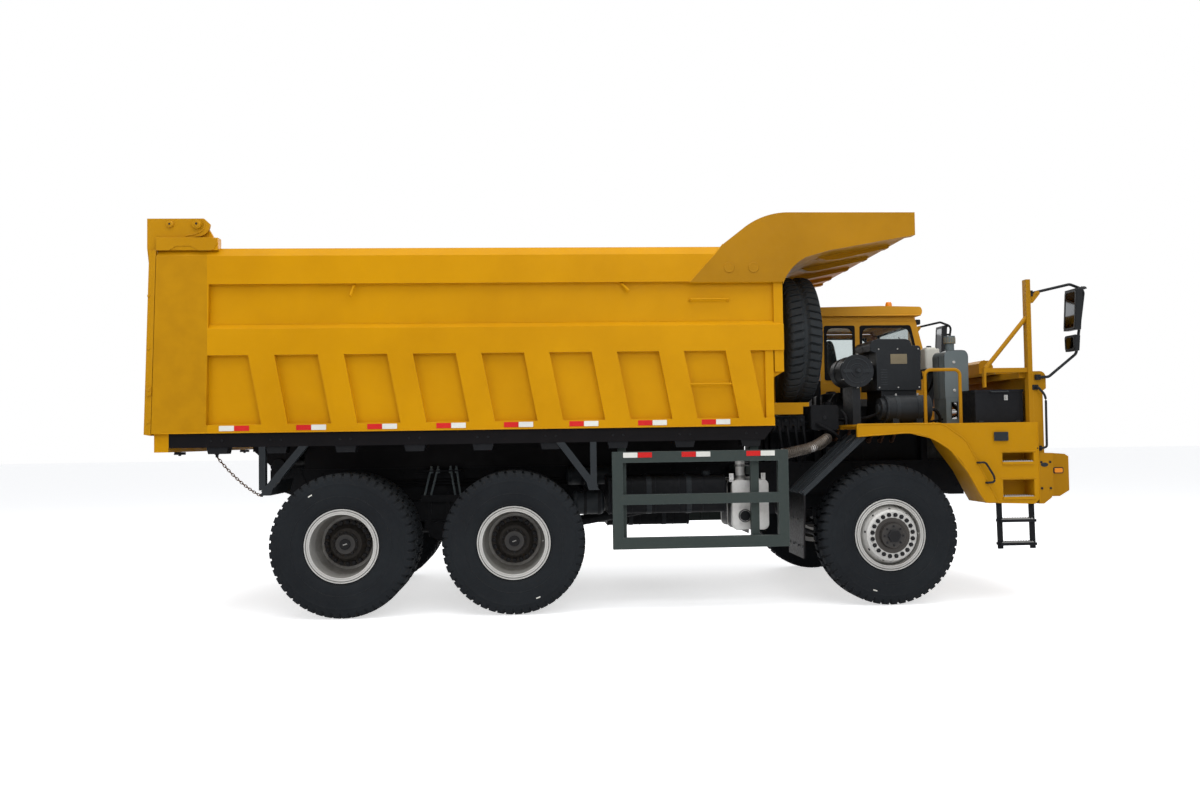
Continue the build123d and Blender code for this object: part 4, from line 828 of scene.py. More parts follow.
def makeTyres():
    for tag, side in sides.items():
        place = (axleX["front"], 0, wheelZ)
        piece = makeTyre("tyreFront" + tag, "tyreRubber", wheelBody("front", tag), [tyreMiddle["front"]],
                         place, side)
        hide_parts("front_tyre_" + tag.lower())
        for axle in ("mid", "rear"):
            twins = [tyreMiddle["outer"], tyreMiddle["inner"]]
            place = (axleX[axle], 0, wheelZ)
            piece = makeTyre("tyres" + axle.capitalize() + tag, "tyreRubber", wheelBody(axle, tag), twins,
                             place, side)
            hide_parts(axle + "_tyres_" + tag.lower())
    spec = dict(tyre, depth=spareTyre["depth"], slant=spareTyre["slant"])
    # the spare tyre takes the paler rubber copy, painted light
    piece = makeTyre("tyreSpare", "spareRubberPaintedLight", "chassis", [0.0], spareTyre["place"], 1, spec, (1, 0, 2))
    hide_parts("spare_tyre")


makeTyres()
print("tyres made")


# ---- wheel nuts, hub caps and valves

hubs = {"nuts": 20, "frontCircle": 0.203, "rearCircle": 0.206, "across": 0.046, "valve": 0.005}
rimHoops = ((0.3495, 0.0045), (0.3265, 0.0045), (0.3065, 0.0035))


def rimRings(bench, dark, x, middle, side):
    # rolled edge, lock ring and inner lip standing on the flange, with the dark gap between them
    for radius, thick in rimHoops:
        hoop(bench, (x, side * (middle + 0.1665), wheelZ), (0, side, 0), radius, thick, 72, 8)
    hoop(dark, (x, side * (middle + 0.1668), wheelZ), (0, side, 0), 0.338, 0.0024, 72, 6)


def frontWheelTrim(side, tag):
    x, middle, out = frontX, tyreMiddle["front"], (0, side, 0)
    body = wheelBody("front", tag)
    seatY = side * (middle + 0.225)
    circleOfNuts = list(circle(hubs["nuts"], hubs["frontCircle"], 0.5))
    # nut ends stay inside the wheel's own width
    nuts = Bench()
    for dx, dz in circleOfNuts:
        nut(nuts, (x + dx, seatY, wheelZ + dz), hubs["across"] * 0.82, 0.022, out, 0.010)
    nuts.make("nutsFront" + tag, "hubBlack", body, smooth=30)
    cap, rolls = benches(2)
    nut(cap, (x, side * (middle + 0.271), wheelZ), 0.118, 0.026, out)
    for dx, dz in circle(8, 0.094):
        nut(cap, (x + dx, side * (middle + 0.265), wheelZ + dz), 0.02, 0.01, out)
    # black discs on the dish's shoulder stand for its holes, painted shade in the openings, each square to
    # its slope
    for c, s in circle(9, 1.0, 0.3):
        way = np.array((0.94 * c, side * 0.34, 0.94 * s))
        spot = np.array((x + 0.2605 * c, side * (middle + 0.176), wheelZ + 0.2605 * s))
        disc(cap, spot - way * 0.002, way, 0.0125, 0.004, 0.001, 16)
    rimRings(rolls, cap, x, middle, side)
    cap.make("hubCapFront" + tag, "hubBlack", body, smooth=30)
    # a washer ring under every wheel nut, the hub's rim and the valve
    for dx, dz in circleOfNuts:
        hoop(rolls, (x + dx, seatY + side * 0.0005, wheelZ + dz), out, 0.0245, 0.003, 18, 6)
    hoop(rolls, (x, seatY, wheelZ), out, 0.2275, 0.003, 60, 6)
    valve = [(x + dx, side * (middle + dy), wheelZ + 0.01) for dx,
             dy in ((0.288, 0.105), (0.288, 0.145), (0.282, 0.172))]
    tube(rolls, valve, hubs["valve"], 0.02, 8)
    rolls.make("rimTrimFront" + tag, "rimSilver", body, smooth=50)


def rearWheelTrim(axle, side, tag):
    x, out, body = axleX[axle], (0, side, 0), wheelBody(axle, tag)
    seat = (tyreMiddle["outer"] + tyreMiddle["inner"]) / 2
    nuts, rolls, plug = benches(3)
    for dx, dz in circle(hubs["nuts"], hubs["rearCircle"]):
        nut(nuts, (x + dx, side * (seat + 0.047), wheelZ + dz), 0.042, 0.026, out, 0.018)
    for dx, dz in circle(10, 0.108, 0.5):
        nut(nuts, (x + dx, side * (seat + 0.165), wheelZ + dz), 0.02, 0.012, out)
    cap = [(0.0, 0.194), (0.052, 0.194), (0.052, 0.2), (0.046, 0.206), (0.0, 0.206)]
    nuts.add(*turned([(r, side * (seat + along)) for r, along in cap], (x, 0, wheelZ), 28))
    rimRings(rolls, nuts, x, tyreMiddle["outer"], side)
    valve = [(x + dx, side * (seat + dy), wheelZ) for dx,
             dy in ((0.292, 0.10), (0.286, 0.17), (0.280, 0.235))]
    tube(rolls, valve, hubs["valve"], 0.02, 8)
    rolls.make("rimRings" + axle.capitalize() + tag, "rimSilver", body, smooth=50)
    nuts.make("nuts" + axle.capitalize() + tag, "hubBlack", body, smooth=30)
    loop = [(x + dx, side * (seat + dy), wheelZ + dz)
            for dx, dy, dz in ((-0.018, 0.2075, -0.006), (0.0, 0.2105, 0.0), (0.018, 0.2075, 0.006))]
    tube(plug, loop, 0.005, 0.01, 8)
    plug.make("plug" + axle.capitalize() + tag, "zincSteel", body, smooth=35)


# place of each wheel's pale dash: middle of the tyre, distance from the axle and angle round it
tyreDashes = {"front": ("front", 0.566, 4.404), "mid": ("outer", 0.574, 5.124),
              "rear": ("outer", 0.564, 2.107)}


def tyreDash(axle, side, tag):
    # blank pale dash laid along the sidewall: a strip bent round the axle at reach
    which, reach, turn = tyreDashes[axle]
    middle = tyreMiddle[which]
    count = 7
    a = np.linspace(turn - 0.036, turn + 0.036, count)
    rows = []
    for r, out in ((-0.006, 0.0), (-0.005, 0.0014), (0.005, 0.0014), (0.006, 0.0)):
        w = middle + np.interp(reach + r, [0.52, 0.56, 0.59], [0.1870, 0.1862, 0.1838]) + out - 0.0006
        rows.append(np.stack([axleX[axle] + (reach + r) * np.cos(a), np.full(count, side * w),
                              wheelZ + (reach + r) * np.sin(a)], -1))
    ends = [(0, 1, 2, 3), tuple(range(4 * count - 4, 4 * count))]
    bench = Bench()
    bench.add(np.stack(rows, 1), [tuple(f) for f in gridFaces(count, 4, False, True)] + ends)
    bench.make("tyreDash" + axle.capitalize() + tag, "whitePlastic", wheelBody(axle, tag), slot="tyre")


for tag, side in sides.items():
    for axle in tyreDashes:
        tyreDash(axle, side, tag)
    frontWheelTrim(side, tag)
    for axle in ("mid", "rear"):
        rearWheelTrim(axle, side, tag)
print("wheel trim made")


# ---- reflectors, plugs, hooks and bars of the tipping body

# rows of marks along each side: X places, height, distance from the middle plane and body
markRows = {
    "Body": {"x": [-3.76, -3.04, -2.371, -1.716, -1.07, -0.44, 0.226, 0.848], "z": 1.834, "face": 1.688,
             "body": "dump_body"},
    "Guard": {"x": [0.0785, 0.650, 1.2865], "z": 1.522, "face": 1.660, "body": "chassis"}}
markSize = {"length": 0.142, "height": 0.05, "thick": 0.004, "sunk": 0.001}


def makeReflectors():
    # each mark is half red and half white; the rearmost of a row starts with white
    length = markSize["length"]
    outline = rounded(length - 0.003, markSize["height"], 0.004, 2)
    for tag, side in sides.items():
        for rowName, row in markRows.items():
            red, white = benches(2)
            depth = sided(side, row["face"] - markSize["sunk"], row["face"] + markSize["thick"])
            for i, x in enumerate(row["x"]):
                first, second = (red, white) if i else (white, red)
                for bench, shift in ((first, -length / 2), (second, length / 2)):
                    plate(bench, outline + (x + shift, row["z"]), "y", *depth)
            red.make("reflectorsRed" + rowName + tag, "redReflector", row["body"], bevel=0.001)
            white.make("reflectorsWhite" + rowName + tag, "whiteReflector", row["body"], bevel=0.001)


makeReflectors()
print("reflectors made")


sideFittings = {
    "rail": 1.688, "kerb": 1.700, "panel": 1.632, "barOut": 1.684, "plugX": (1.003, 1.246), "plugZ": 3.345,
    # hooks: X, forward lean and foot height; bars: both ends in X, and height
    "hooks": ((-2.632, -0.032, 3.092), (-0.050, 0.066, 3.122)),
    "bars": ((0.605, 1.015, 2.205), (0.620, 0.996, 3.037)),
    "ribs": 8, "firstRib": -3.63, "ribPitch": 0.655, "ribWide": 0.245, "ribLean": 0.125, "ribTop": 2.526,
    "ribFoot": 1.872, "seamZ": (2.529, 3.209, 1.869, 2.829), "kerbBead": (-4.44, 1.43, 1.794)}


def makeSideFittings(side, tag):
    spec = sideFittings
    out = (0, side, 0)
    plugs, bars, beads = benches(3)
    for x in spec["plugX"]:
        disc(plugs, (x, side * (spec["kerb"] - 0.001), spec["plugZ"]), out, 0.046, 0.006, 0.002, 28)
        hoop(plugs, (x, side * (spec["kerb"] + 0.001), spec["plugZ"]), out, 0.046, 0.0065, 28, 8)
    foot = side * (spec["panel"] - 0.004)
    for x, lean, low in spec["hooks"]:
        tube(bars, [(x, foot, 3.200), (x, side * 1.660, 3.196), (x + lean, side * 1.690, low)], 0.0125, 0.02,
             10)
    for x0, x1, z in spec["bars"]:
        y = side * spec["barOut"]
        tube(bars, [(x0, foot, z), (x0, y, z), (x1, y, z), (x1, foot, z)], 0.0095, 0.03, 8)
        for x in (x0, x1):
            disc(bars, (x, side * (spec["panel"] - 0.002), z), out, 0.02, 0.008, 0.003, 16)
    # beads down both edges of every rib, along the rails and round the panel
    face = side * (spec["panel"] + 0.001)
    for i in range(spec["ribs"]):
        x = spec["firstRib"] + spec["ribPitch"] * i
        for edge in (x, x + spec["ribWide"]):
            weld(beads, (edge, face, spec["ribTop"]), (edge + spec["ribLean"], face, spec["ribFoot"]))
    for z in spec["seamZ"]:
        weld(beads, (-3.98, face, z), (1.44 if z < 2.6 else 1.52, face, z))
    weld(beads, (-3.9925, face, 2.84), (-3.992, face, 3.2))
    y = side * (spec["rail"] + 0.001)
    for x0, z0, x1, z1 in ((0.616, 3.203, 0.877, 3.487), (0.877, 3.487, 0.948, 3.575),
                           (0.62, 3.2025, 1.53, 3.2025)):
        weld(beads, (x0, y, z0), (x1, y, z1), 0.007)
    x0, x1, z = spec["kerbBead"]
    tube(bars, [(x0, y, z), (x1, y, z)], 0.0055, 0.02, 8)
    plugs.make("sidePlugs" + tag, "deepShadedYellowPaint", "dump_body", smooth=30)
    bars.make("sideHooksAndBars" + tag, "yellowPaint", "dump_body", smooth=35)
    beads.make("sideWelds" + tag, "yellowPaint", "dump_body", smooth=60)


tailHinge = {"plateEdge": [(-4.482, 3.534), (-4.363, 3.534), (-4.330, 3.552), (-4.297, 3.575),
                           (-4.164, 3.577), (-4.120, 3.550), (-4.093, 3.533), (-3.983, 3.532),
                           (-3.945, 3.545), (-3.914, 3.600), (-3.925, 3.640), (-3.969, 3.658),
                           (-4.487, 3.658)],
             "pin": (-4.107, 3.790), "armBolt": (-4.362, 3.790), "latch": (-4.548, 2.197),
             "fin": ((-4.215, 1.663, 3.678), (-4.120, 1.664, 3.694), (-4.046, 1.664, 3.740),
                     (-4.040, 1.663, 3.806)),
             "boltX": -4.552, "boltZ": (1.90, 2.60, 3.10)}


def makeTailHinge(side, tag):
    spec = tailHinge
    out = (0, side, 0)
    # on the body: hinge plate and the pin's painted end with its locking bolt
    flat, pins, ends = benches(3)
    plate(flat, spec["plateEdge"], "y", *sided(side, 1.688, 1.695))
    flat.make("hingePlate" + tag, "shadedYellowPaint", "dump_body", bevel=0.002)
    x, z = spec["pin"]
    hoop(pins, (x, side * 1.689, z), out, 0.030, 0.005, 28, 6)
    disc(pins, (x, side * 1.688, z), out, 0.028, 0.007, 0.002, 24)
    pins.make("hingePins" + tag, "shadedYellowPaint", "dump_body", smooth=30)
    nut(ends, (x, side * 1.695, z), 0.019, 0.008, out)
    ends.make("hingePinEnds" + tag, "hubBlack", "dump_body", smooth=30)
    # on the gate: arm bolt in its ring, the fin along the arm and the latch block with its pin
    bolt, fin = benches(2)
    x, z = spec["armBolt"]
    nut(bolt, (x, side * 1.683, z), 0.017, 0.006, out)
    bolt.make("armBolts" + tag, "hubBlack", "tailgate", smooth=30)
    hoop(fin, (x, side * 1.677, z), out, 0.027, 0.005, 28, 6)
    disc(fin, (x, side * 1.676, z), out, 0.025, 0.007, 0.002, 24)
    tube(fin, [(x, side * y, z) for x, y, z in spec["fin"]], 0.007, 0.08, 8)
    x, z = spec["latch"]
    plate(fin, rounded(0.044, 0.085, 0.01) + (x, z), "y", *sided(side, 1.687, 1.704))
    disc(fin, (x, side * 1.703, z + 0.012), out, 0.012, 0.012, 0.003, 16)
    for z in spec["boltZ"]:
        nut(fin, (spec["boltX"], side * 1.687, z), 0.024, 0.01, out)
    fin.make("armFin" + tag, "shadedYellowPaint", "tailgate", smooth=35)


for tag, side in sides.items():
    makeSideFittings(side, tag)
    makeTailHinge(side, tag)
print("side fittings made")


# ---- exhaust, guards and boxes under the body

exhaust = {
    "flex": ((1.585, -1.300, 1.505), (1.61, -1.300, 1.505), (1.90, -1.300, 1.565), (2.08, -1.240, 1.66),
             (2.11, -0.76, 1.58), (2.11, -0.52, 1.568)),
    # clamps: centre and the pipe's direction there
    "clamps": (((1.15, -1.300, 1.285), (0, 0, 1)), ((1.15, -1.300, 1.395), (0, 0, 1)),
               ((1.33, -1.300, 1.5015), (1, 0, 0)), ((1.585, -1.300, 1.5045), (1, 0, 0))),
    "outlet": (1.160, 0.900), "middle": (1.230, 1.005), "seamY": (-1.40, -1.12, -0.76),
    "strapX": (1.022, 1.344)}


def makeExhaust():
    spec = exhaust
    flex, clamps, mouth, bands = benches(4)
    ribbedHose(flex, spec["flex"], 0.0535, 0.08, 0.019, 0.07)
    flex.make("exhaustFlex", "steelPipe", smooth=60)
    band = [(0.047, -0.012), (0.0525, -0.012), (0.0525, 0.012), (0.047, 0.012)]
    for centre, way in spec["clamps"]:
        hoop(clamps, centre, way, 0.0505, 0.0075, 28, 8)
        standing(clamps, band, centre, way, 28, True)
        nut(clamps, np.add(centre, (0.0, -0.062, 0.0)), 0.014, 0.016, (0, 0, 1) if way[0] else (1, 0, 0))
    clamps.make("exhaustClamps", "zincSteel", smooth=35, slot="silencer_coat")
    # outlet ring with a flat black disc for the opening: soot and painted shade inside the pipe
    x, z = spec["outlet"]
    hoop(mouth, (x, -1.481, z), (0, -1, 0), 0.060, 0.005, 36, 8)
    disc(mouth, (x, -1.4805, z), (0, -1, 0), 0.052, 0.001, 0.0, 36)
    mouth.make("exhaustMouth", "chassisBlack", smooth=35)
    # rolled seams round the can and the two straps with their lugs
    for y in spec["seamY"]:
        seam(bands, rounded(0.362, 0.492, 0.05, 5) + spec["middle"], "y", y, 0.0065)
    for x in spec["strapX"]:
        boxPlate(bands, x, x + 0.045, -1.395, -1.385, 1.235, 1.320)
        nut(bands, (x + 0.0225, -1.395, 1.295), 0.022, 0.01, (0, -1, 0))
        boxPlate(bands, x, x + 0.045, -1.395, -0.70, 1.245, 1.253)
    bands.make("silencerBands", "silencerCoat", smooth=40, bevel=0.0015)


makeExhaust()


# each tank: X of both ends, Y, Z, radius, X of its two straps and Y of the rail that they hang on
airTanks = ((-0.56, -0.22, -1.20, 1.0425, 0.117, (-0.42, -0.28), -0.44),
            (-0.60, 0.06, -0.70, 1.30, 0.098, (-0.42, -0.06), -0.44),
            (-0.62, -0.09, 0.74, 1.24, 0.120, (-0.50, -0.20), 0.44),
            (1.62, 2.12, 0.62, 0.985, 0.105, (1.72, 2.02), 0.44))
airPipe = [(-0.40, -1.16, 0.93), (-0.25, -1.18, 0.98), (-0.25, -0.46, 1.10)]


def airTank(bench, x0, x1, y, z, radius, ends=0.035):
    # can with domed ends: end radius follows a quarter ellipse, and a seam stands at each end of its barrel
    t = np.linspace(0, math.pi / 2, 7)
    left = [(radius * math.sin(a), x0 + ends * (1 - math.cos(a))) for a in t]
    right = [(radius * math.sin(a), x1 - ends * (1 - math.cos(a))) for a in t[::-1]]
    seam = [(radius, x0 + ends + 0.02), (radius + 0.003, x0 + ends + 0.024), (radius, x0 + ends + 0.028),
            (radius, x1 - ends - 0.028), (radius + 0.003, x1 - ends - 0.024), (radius, x1 - ends - 0.02)]
    bench.add(*turned(left + seam + right, (0, y, z), 32, "x", False))


def makeAirTanks():
    tanks, straps = benches(2)
    for x0, x1, y, z, radius, strapX, rail in airTanks:
        airTank(tanks, x0, x1, y, z, radius)
        outer = radius + 0.004
        top = z + radius + 0.006
        for x in strapX:
            band = [(radius, -0.016), (outer, -0.016), (outer, 0.016), (radius, 0.016)]
            straps.add(*turned(band, (x, y, z), 32, "x", True))
            boxPlate(straps, x - 0.016, x + 0.016, min(rail, y), max(rail, y), top - 0.012, top)
            nut(straps, (x, y + 0.02, top), 0.016, 0.01, (0, 0, 1))
    tube(straps, airPipe, 0.012, 0.05, 8)
    tanks.make("airTanks", "deckBlack", smooth=50)
    straps.make("airTankStraps", "chassisBlack", smooth=35)


chain = {"from": (-3.978, -1.50, 1.563), "to": (-3.557, -1.50, 1.177), "points": 22, "sag": 0.16,
         "linkWide": 0.011, "wire": 0.0038}


def makeChain():
    # short links, every other one turned a quarter, hanging between two hooks in a parabola
    start, end = np.array(chain["from"]), np.array(chain["to"])
    t = np.linspace(0, 1, chain["points"])
    path = start + (end - start) * t[:, None]
    path[:, 2] -= chain["sag"] * t * (1 - t)
    b = np.linspace(0, 2 * math.pi, 14, endpoint=False)
    links, hooks = benches(2)
    for k in range(len(path) - 1):
        ahead = path[k + 1] - path[k]
        long = np.linalg.norm(ahead) * 0.72
        link = np.stack([chain["linkWide"] * np.cos(b), 0 * b, long * np.sin(b)], -1)
        if k % 2:
            link = link[:, [1, 0, 2]]
        points, faces = carried(ring(chain["wire"], 6), link, True)
        links.add(aimed(points, (path[k] + path[k + 1]) / 2, ahead), faces)
    links.make("tailChain", "rustSteel", "dump_body", smooth=50)
    for spot in (start, end):
        disc(hooks, spot + (0, 0, -0.004), (0, 0, 1), 0.014, 0.03, 0.004, 12)
    x, y, z = start
    boxPlate(hooks, x - 0.012, x + 0.012, y - 0.03, y + 0.03, z + 0.02, 1.692)
    tube(hooks, [end + (0, 0, 0.02), (-3.525, -1.52, 1.215), (-3.505, -1.59, 1.23)], 0.01, 0.02, 8)
    hooks.make("chainHooks", "chassisBlack", "dump_body", smooth=35)


# each tank: X, Y and Z from and to
sideTanks = ((-0.20, 0.985, -1.430, -0.810, 0.935, 1.300), (-0.08, 0.92, 0.70, 1.48, 0.64, 1.30))
tankBracketX = (0.17, 0.57)


def makeSideTanks():
    # rounded sections carried along X, with rolled end seams, swaged rings, straps, cap and drain
    bench, straps = benches(2)
    for x0, x1, y0, y1, z0, z1 in sideTanks:
        def section(grow, radius):
            low, high = (y0 - grow, z0 - grow), (y1 + grow, z1 + grow)
            return roundCorners([low, (high[0], low[1]), high, (low[0], high[1])], radius)
        loop = section(0.0, 0.075)
        plate(bench, loop, "x", x0 + 0.014, x1 - 0.014)
        plate(bench, section(-0.012, 0.063), "x", x0 + 0.004, x1 - 0.004)
        rings = [(x0 + 0.014, 0.008), (x1 - 0.014, 0.008)]
        rings += [(x0 + (x1 - x0) * k / 5, 0.004) for k in (1, 2, 3, 4)]
        for x, r in rings:
            seam(bench, loop, "x", x, r)
        right = y0 < 0
        rail = math.copysign(0.45, y0)
        for x in tankBracketX:
            plate(straps, section(0.005, 0.08), "x", x + 0.015, x + 0.065)
            boxPlate(straps, x, x + 0.08, *sorted((rail, y1 + 0.02 if right else y0 - 0.001)), 1.09, 1.18)
            nut(straps, (x + 0.04, (y0 + y1) / 2, z1 + 0.005), 0.026, 0.02, (0, 0, 1))
        filler = (x0 + 0.85 * (x1 - x0), y0 + 0.16 if right else y1 - 0.16, z1)
        disc(straps, filler, (0, 0, 1), 0.045, 0.05, 0.008, 28)
        disc(straps, ((x0 + x1) / 2, (y0 + y1) / 2, z0 + 0.004), (0, 0, -1), 0.018, 0.02, 0.004, 16)
    piece = bench.make("sideTanksSeamed", "chassisBlack", smooth=35)
    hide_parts("side_tanks")
    straps.make("sideTankStraps", "deckBlack", bevel=0.002)


makeAirTanks()
makeSideTanks()
makeChain()
print("exhaust and tanks made")


# ---- front corners: handles, ladders, plates, lamps and mirrors

front = {"fenderFace": 1.664, "lampX": 4.491, "lampY": (0.900, 1.080), "lampZ": 1.270, "turnY": 1.32,
         "handleBar": [(3.452, 1.396), (3.516, 1.400), (3.600, 1.262), (3.606, 1.205), (3.536, 1.196)],
         "columnBar": [(4.080, 2.136), (4.154, 2.050), (4.150, 1.540), (4.100, 1.529)],
         # treads: heights, Y of the strips, X from and to
         "treads": (((0.596, 0.826), (1.552, 1.588, 1.624), 3.70, 4.02),
                    ((1.052, 1.398), (1.475, 1.530, 1.585, 1.640), 3.725, 4.025)),
         "plate": (3.701, 1.652), "oval": (4.142, 1.364), "sideLamp": (4.36, 1.30)}


def makeHandles(black, side):
    # step handle on the fender and long handle on the corner panel, each on two feet
    face, bar = front["fenderFace"], front["handleBar"]
    (x0, z0), (x1, z1) = bar[0], bar[-1]
    tube(black, [(x0, side * face, z0), (x0, side * (face + 0.045), z0),
                 *[(x, side * (face + 0.045), z) for x, z in bar[1:]], (x1, side * (face - 0.01), z1)],
         0.0105, 0.03, 10)
    bar = front["columnBar"]
    (x0, z0), (x1, z1) = bar[0], bar[-1]
    for x, z in (bar[0], bar[-1]):
        plate(black, rounded(0.06, 0.05, 0.008) + (x - 0.005, z), "y", *sided(side, 1.638, 1.648))
        nut(black, (x - 0.022, side * 1.648, z), 0.014, 0.007, (0, side, 0))
    tube(black, [(x0, side * 1.640, z0), (x0, side * 1.690, z0),
                 *[(x, side * 1.694, z) for x, z in bar[1:-1]],
                 (x1, side * 1.690, z1), (x1, side * 1.650, z1)], 0.0115, 0.05, 10)


def makeLamps(black, silver, clear, amber, side):
    # head lamps: bezel and fluted dome
    t = np.linspace(0.06, 1, 18)
    dome = [(0.0, 0.020), *zip(0.0745 * t, 0.020 * (1 - t * t) + 0.0011 * np.cos(26 * t)), (0.0745, -0.002),
            (0.0, -0.002)]
    for y in front["lampY"]:
        centre = (front["lampX"], side * y, front["lampZ"])
        hoop(silver, centre, (1, 0, 0), 0.076, 0.008, 40, 8)
        standing(clear, dome, centre, (1, 0, 0), 40)
    # their plate, turn lamps in front and on the bumper's end
    turn = (side * front["turnY"], front["lampZ"])
    plate(black, rounded(0.40, 0.19, 0.03) + (side * 0.990, front["lampZ"]), "x", 4.4685, 4.474)
    plate(amber, rounded(0.13, 0.085, 0.018) + turn, "x", 4.469, 4.484)
    plate(black, rounded(0.15, 0.105, 0.02) + turn, "x", 4.4685, 4.475)
    plate(amber, rounded(0.085, 0.045, 0.012) + front["sideLamp"], "y", *sided(side, 1.499, 1.512))
    plate(black, rounded(0.105, 0.062, 0.015) + front["sideLamp"], "y", *sided(side, 1.499, 1.504))


def makeFrontCorner(side, tag):
    black, silver, clear, amber, plates = benches(5)
    makeHandles(black, side)
    # saw-toothed treads on the ladder and in both step openings
    for heights, strips, x0, x1 in front["treads"]:
        for z in heights:
            for y in strips:
                serrated(silver, x0, x1, *sided(side, y, y + 0.012), z, 0.026, 0.014)
    for x in (3.676, 4.005):
        for z in (0.583, 0.813, 0.95):
            nut(black, (x + 0.02, side * 1.612, z), 0.02, 0.008, (0, side, 0))
    # blank plates
    x, z = front["plate"]
    plate(plates, rounded(0.146, 0.088, 0.006) + (x, z), "y", *sided(side, 1.6675, 1.6705))
    for dx in (-0.062, 0.062):
        nut(plates, (x + dx, side * 1.6705, z), 0.009, 0.004, (0, side, 0))
    plate(plates, ring(1.0, 28) * (0.038, 0.021) + front["oval"], "y", *sided(side, 1.6495, 1.654))
    makeLamps(black, silver, clear, amber, side)
    for z in (1.13, 1.39):
        for x in (4.11, 4.20):
            nut(black, (x, side * 1.650, z), 0.022, 0.009, (0, side, 0))
    black.make("cornerHandles" + tag, "blackPlastic", smooth=35)
    silver.make("treadsAndBezels" + tag, "zincSteel", smooth=30)
    clear.make("headLenses" + tag, "clearLens", smooth=50)
    amber.make("turnLamps" + tag, "amberLens", bevel=0.003)
    plates.make("blankPlates" + tag, "deckBlack", bevel=0.0008)


# mirror glass: X at the foot, lean back per metre up, foot height, Y from and to, top height
mirrorGlass = ((4.4275, 0.061, 2.70, 1.578, 1.772, 3.085), (4.4300, -0.0250, 2.49, 1.596, 1.754, 2.632))


def makeMirrors(side, tag):
    # glass in the rear face of each head, a round wide-angle mirror on its arm, clamps and bolts
    glass, black = benches(2)
    for x0, lean, z0, y0, y1, z1 in mirrorGlass:
        def at(u, v, depth):
            return x0 + lean * (v - z0) - depth, side * u, v
        corners = [(y0, z0 + 0.018), (y1, z0 + 0.018), (y1, z1), (y0, z1)]
        loop = roundCorners(corners, 0.03)
        rows = [np.array([at(u, v, d) for u, v in loop]) for d in (-0.002, 0.002)]
        glass.add(np.concatenate(rows), slabFaces(len(loop)))
        windowFrame(black, corners, at, 0.012, 0.006, 0.03, -0.003, 0.006)
    centre, down = (4.545, side * 1.706, 3.105), (0.22, 0, -1)
    bowl = [(0.0, -0.028), (0.030, -0.026), (0.046, -0.016), (0.052, 0.0), (0.052, 0.004), (0.0, 0.004)]
    standing(black, bowl, centre, down, 32)
    face = [(0.048 * t, 0.0045 + 0.0055 * (1 - t * t)) for t in (0.3, 0.6, 0.85, 1.0)]
    standing(glass, [(0.0, 0.010), *face, (0.0, 0.0035)], centre, down, 32)
    tube(black, [(4.585, side * 1.652, 3.10), (4.57, side * 1.664, 3.128), (4.553, side * 1.70, 3.132)],
         0.007, 0.02, 8)
    for z, x in ((2.56, 4.502), (2.79, 4.535), (3.00, 4.565)):
        hoop(black, (x, side * 1.650, z), (0.14, 0, 1), 0.0175, 0.005, 20, 6)
        nut(black, (x - 0.03, side * 1.660, z), 0.014, 0.008, (0, side, 0))
    for z in (3.062, 3.098):
        nut(black, (4.070, side * 1.630, z), 0.016, 0.008, (0, side, 0))
    bracket = Bench()
    plate(bracket, [(4.053, 2.985), (4.085, 2.985), (4.160, 3.075), (4.160, 3.105), (4.120, 3.105),
                    (4.053, 3.035)], "y",
          *sided(side, 1.575, 1.625))
    nut(bracket, (4.125, side * 1.625, 3.078), 0.02, 0.009, (0, side, 0))
    bracket.make("mirrorBracket" + tag, "deepShadedYellowPaint", bevel=0.003)
    for x in (4.08, 4.11):
        nut(black, (x, side * 1.674, 2.236), 0.014, 0.007, (0, side, 0))
    glass.make("mirrorGlass" + tag, "mirrorFace", smooth=40)
    black.make("mirrorFittings" + tag, "blackPlastic", smooth=40)


grille = {"uprights": 24, "bars": 25, "pitch": 0.0255, "half": 0.0025}


def makeNose():
    # mesh behind the grille slots, hood bolts and the cowl's top
    mesh, black = benches(2)
    half = grille["half"]
    for side in (-1, 1):
        for k in range(grille["uprights"]):
            y = side * (0.032 + grille["pitch"] * k)
            boxPlate(mesh, 4.088, 4.092, y - half, y + half, 1.545, 2.175)
        for k in range(grille["bars"]):
            z = 1.552 + grille["pitch"] * k
            boxPlate(mesh, 4.092, 4.096, *sided(side, 0.02, 0.63), z - half, z + half)
        for k in range(6):
            for z in (1.52, 2.22):
                nut(black, (4.155, side * (0.69 + 0.08 * k), z), 0.018, 0.008, (1, 0, 0))
        for z in (1.165, 1.375):
            for y in (0.60, 0.20):
                nut(black, (4.470, side * y, z), 0.026, 0.01, (1, 0, 0))
    mesh.make("grilleMesh", "blackPlastic")
    black.make("noseBolts", "hubBlack", smooth=30)
    # angular housing on the cowl's top, behind the expansion tank as seen from the right
    box = Bench()
    plate(box, [(3.990, 2.330), (4.150, 2.330), (4.150, 2.425), (4.110, 2.488), (4.020, 2.488),
                (3.990, 2.455)], "y", -0.55, -0.05)
    for y in (-0.50, -0.10):
        nut(box, (4.07, y, 2.488), 0.02, 0.008, (0, 0, 1))
    box.make("cowlHousing", "deepShadedYellowPaint", bevel=0.006)


for tag, side in sides.items():
    makeFrontCorner(side, tag)
    makeMirrors(side, tag)
makeNose()
print("front end made")


# ---- engine deck: air cleaner, intake box, drum, tanks and hoses

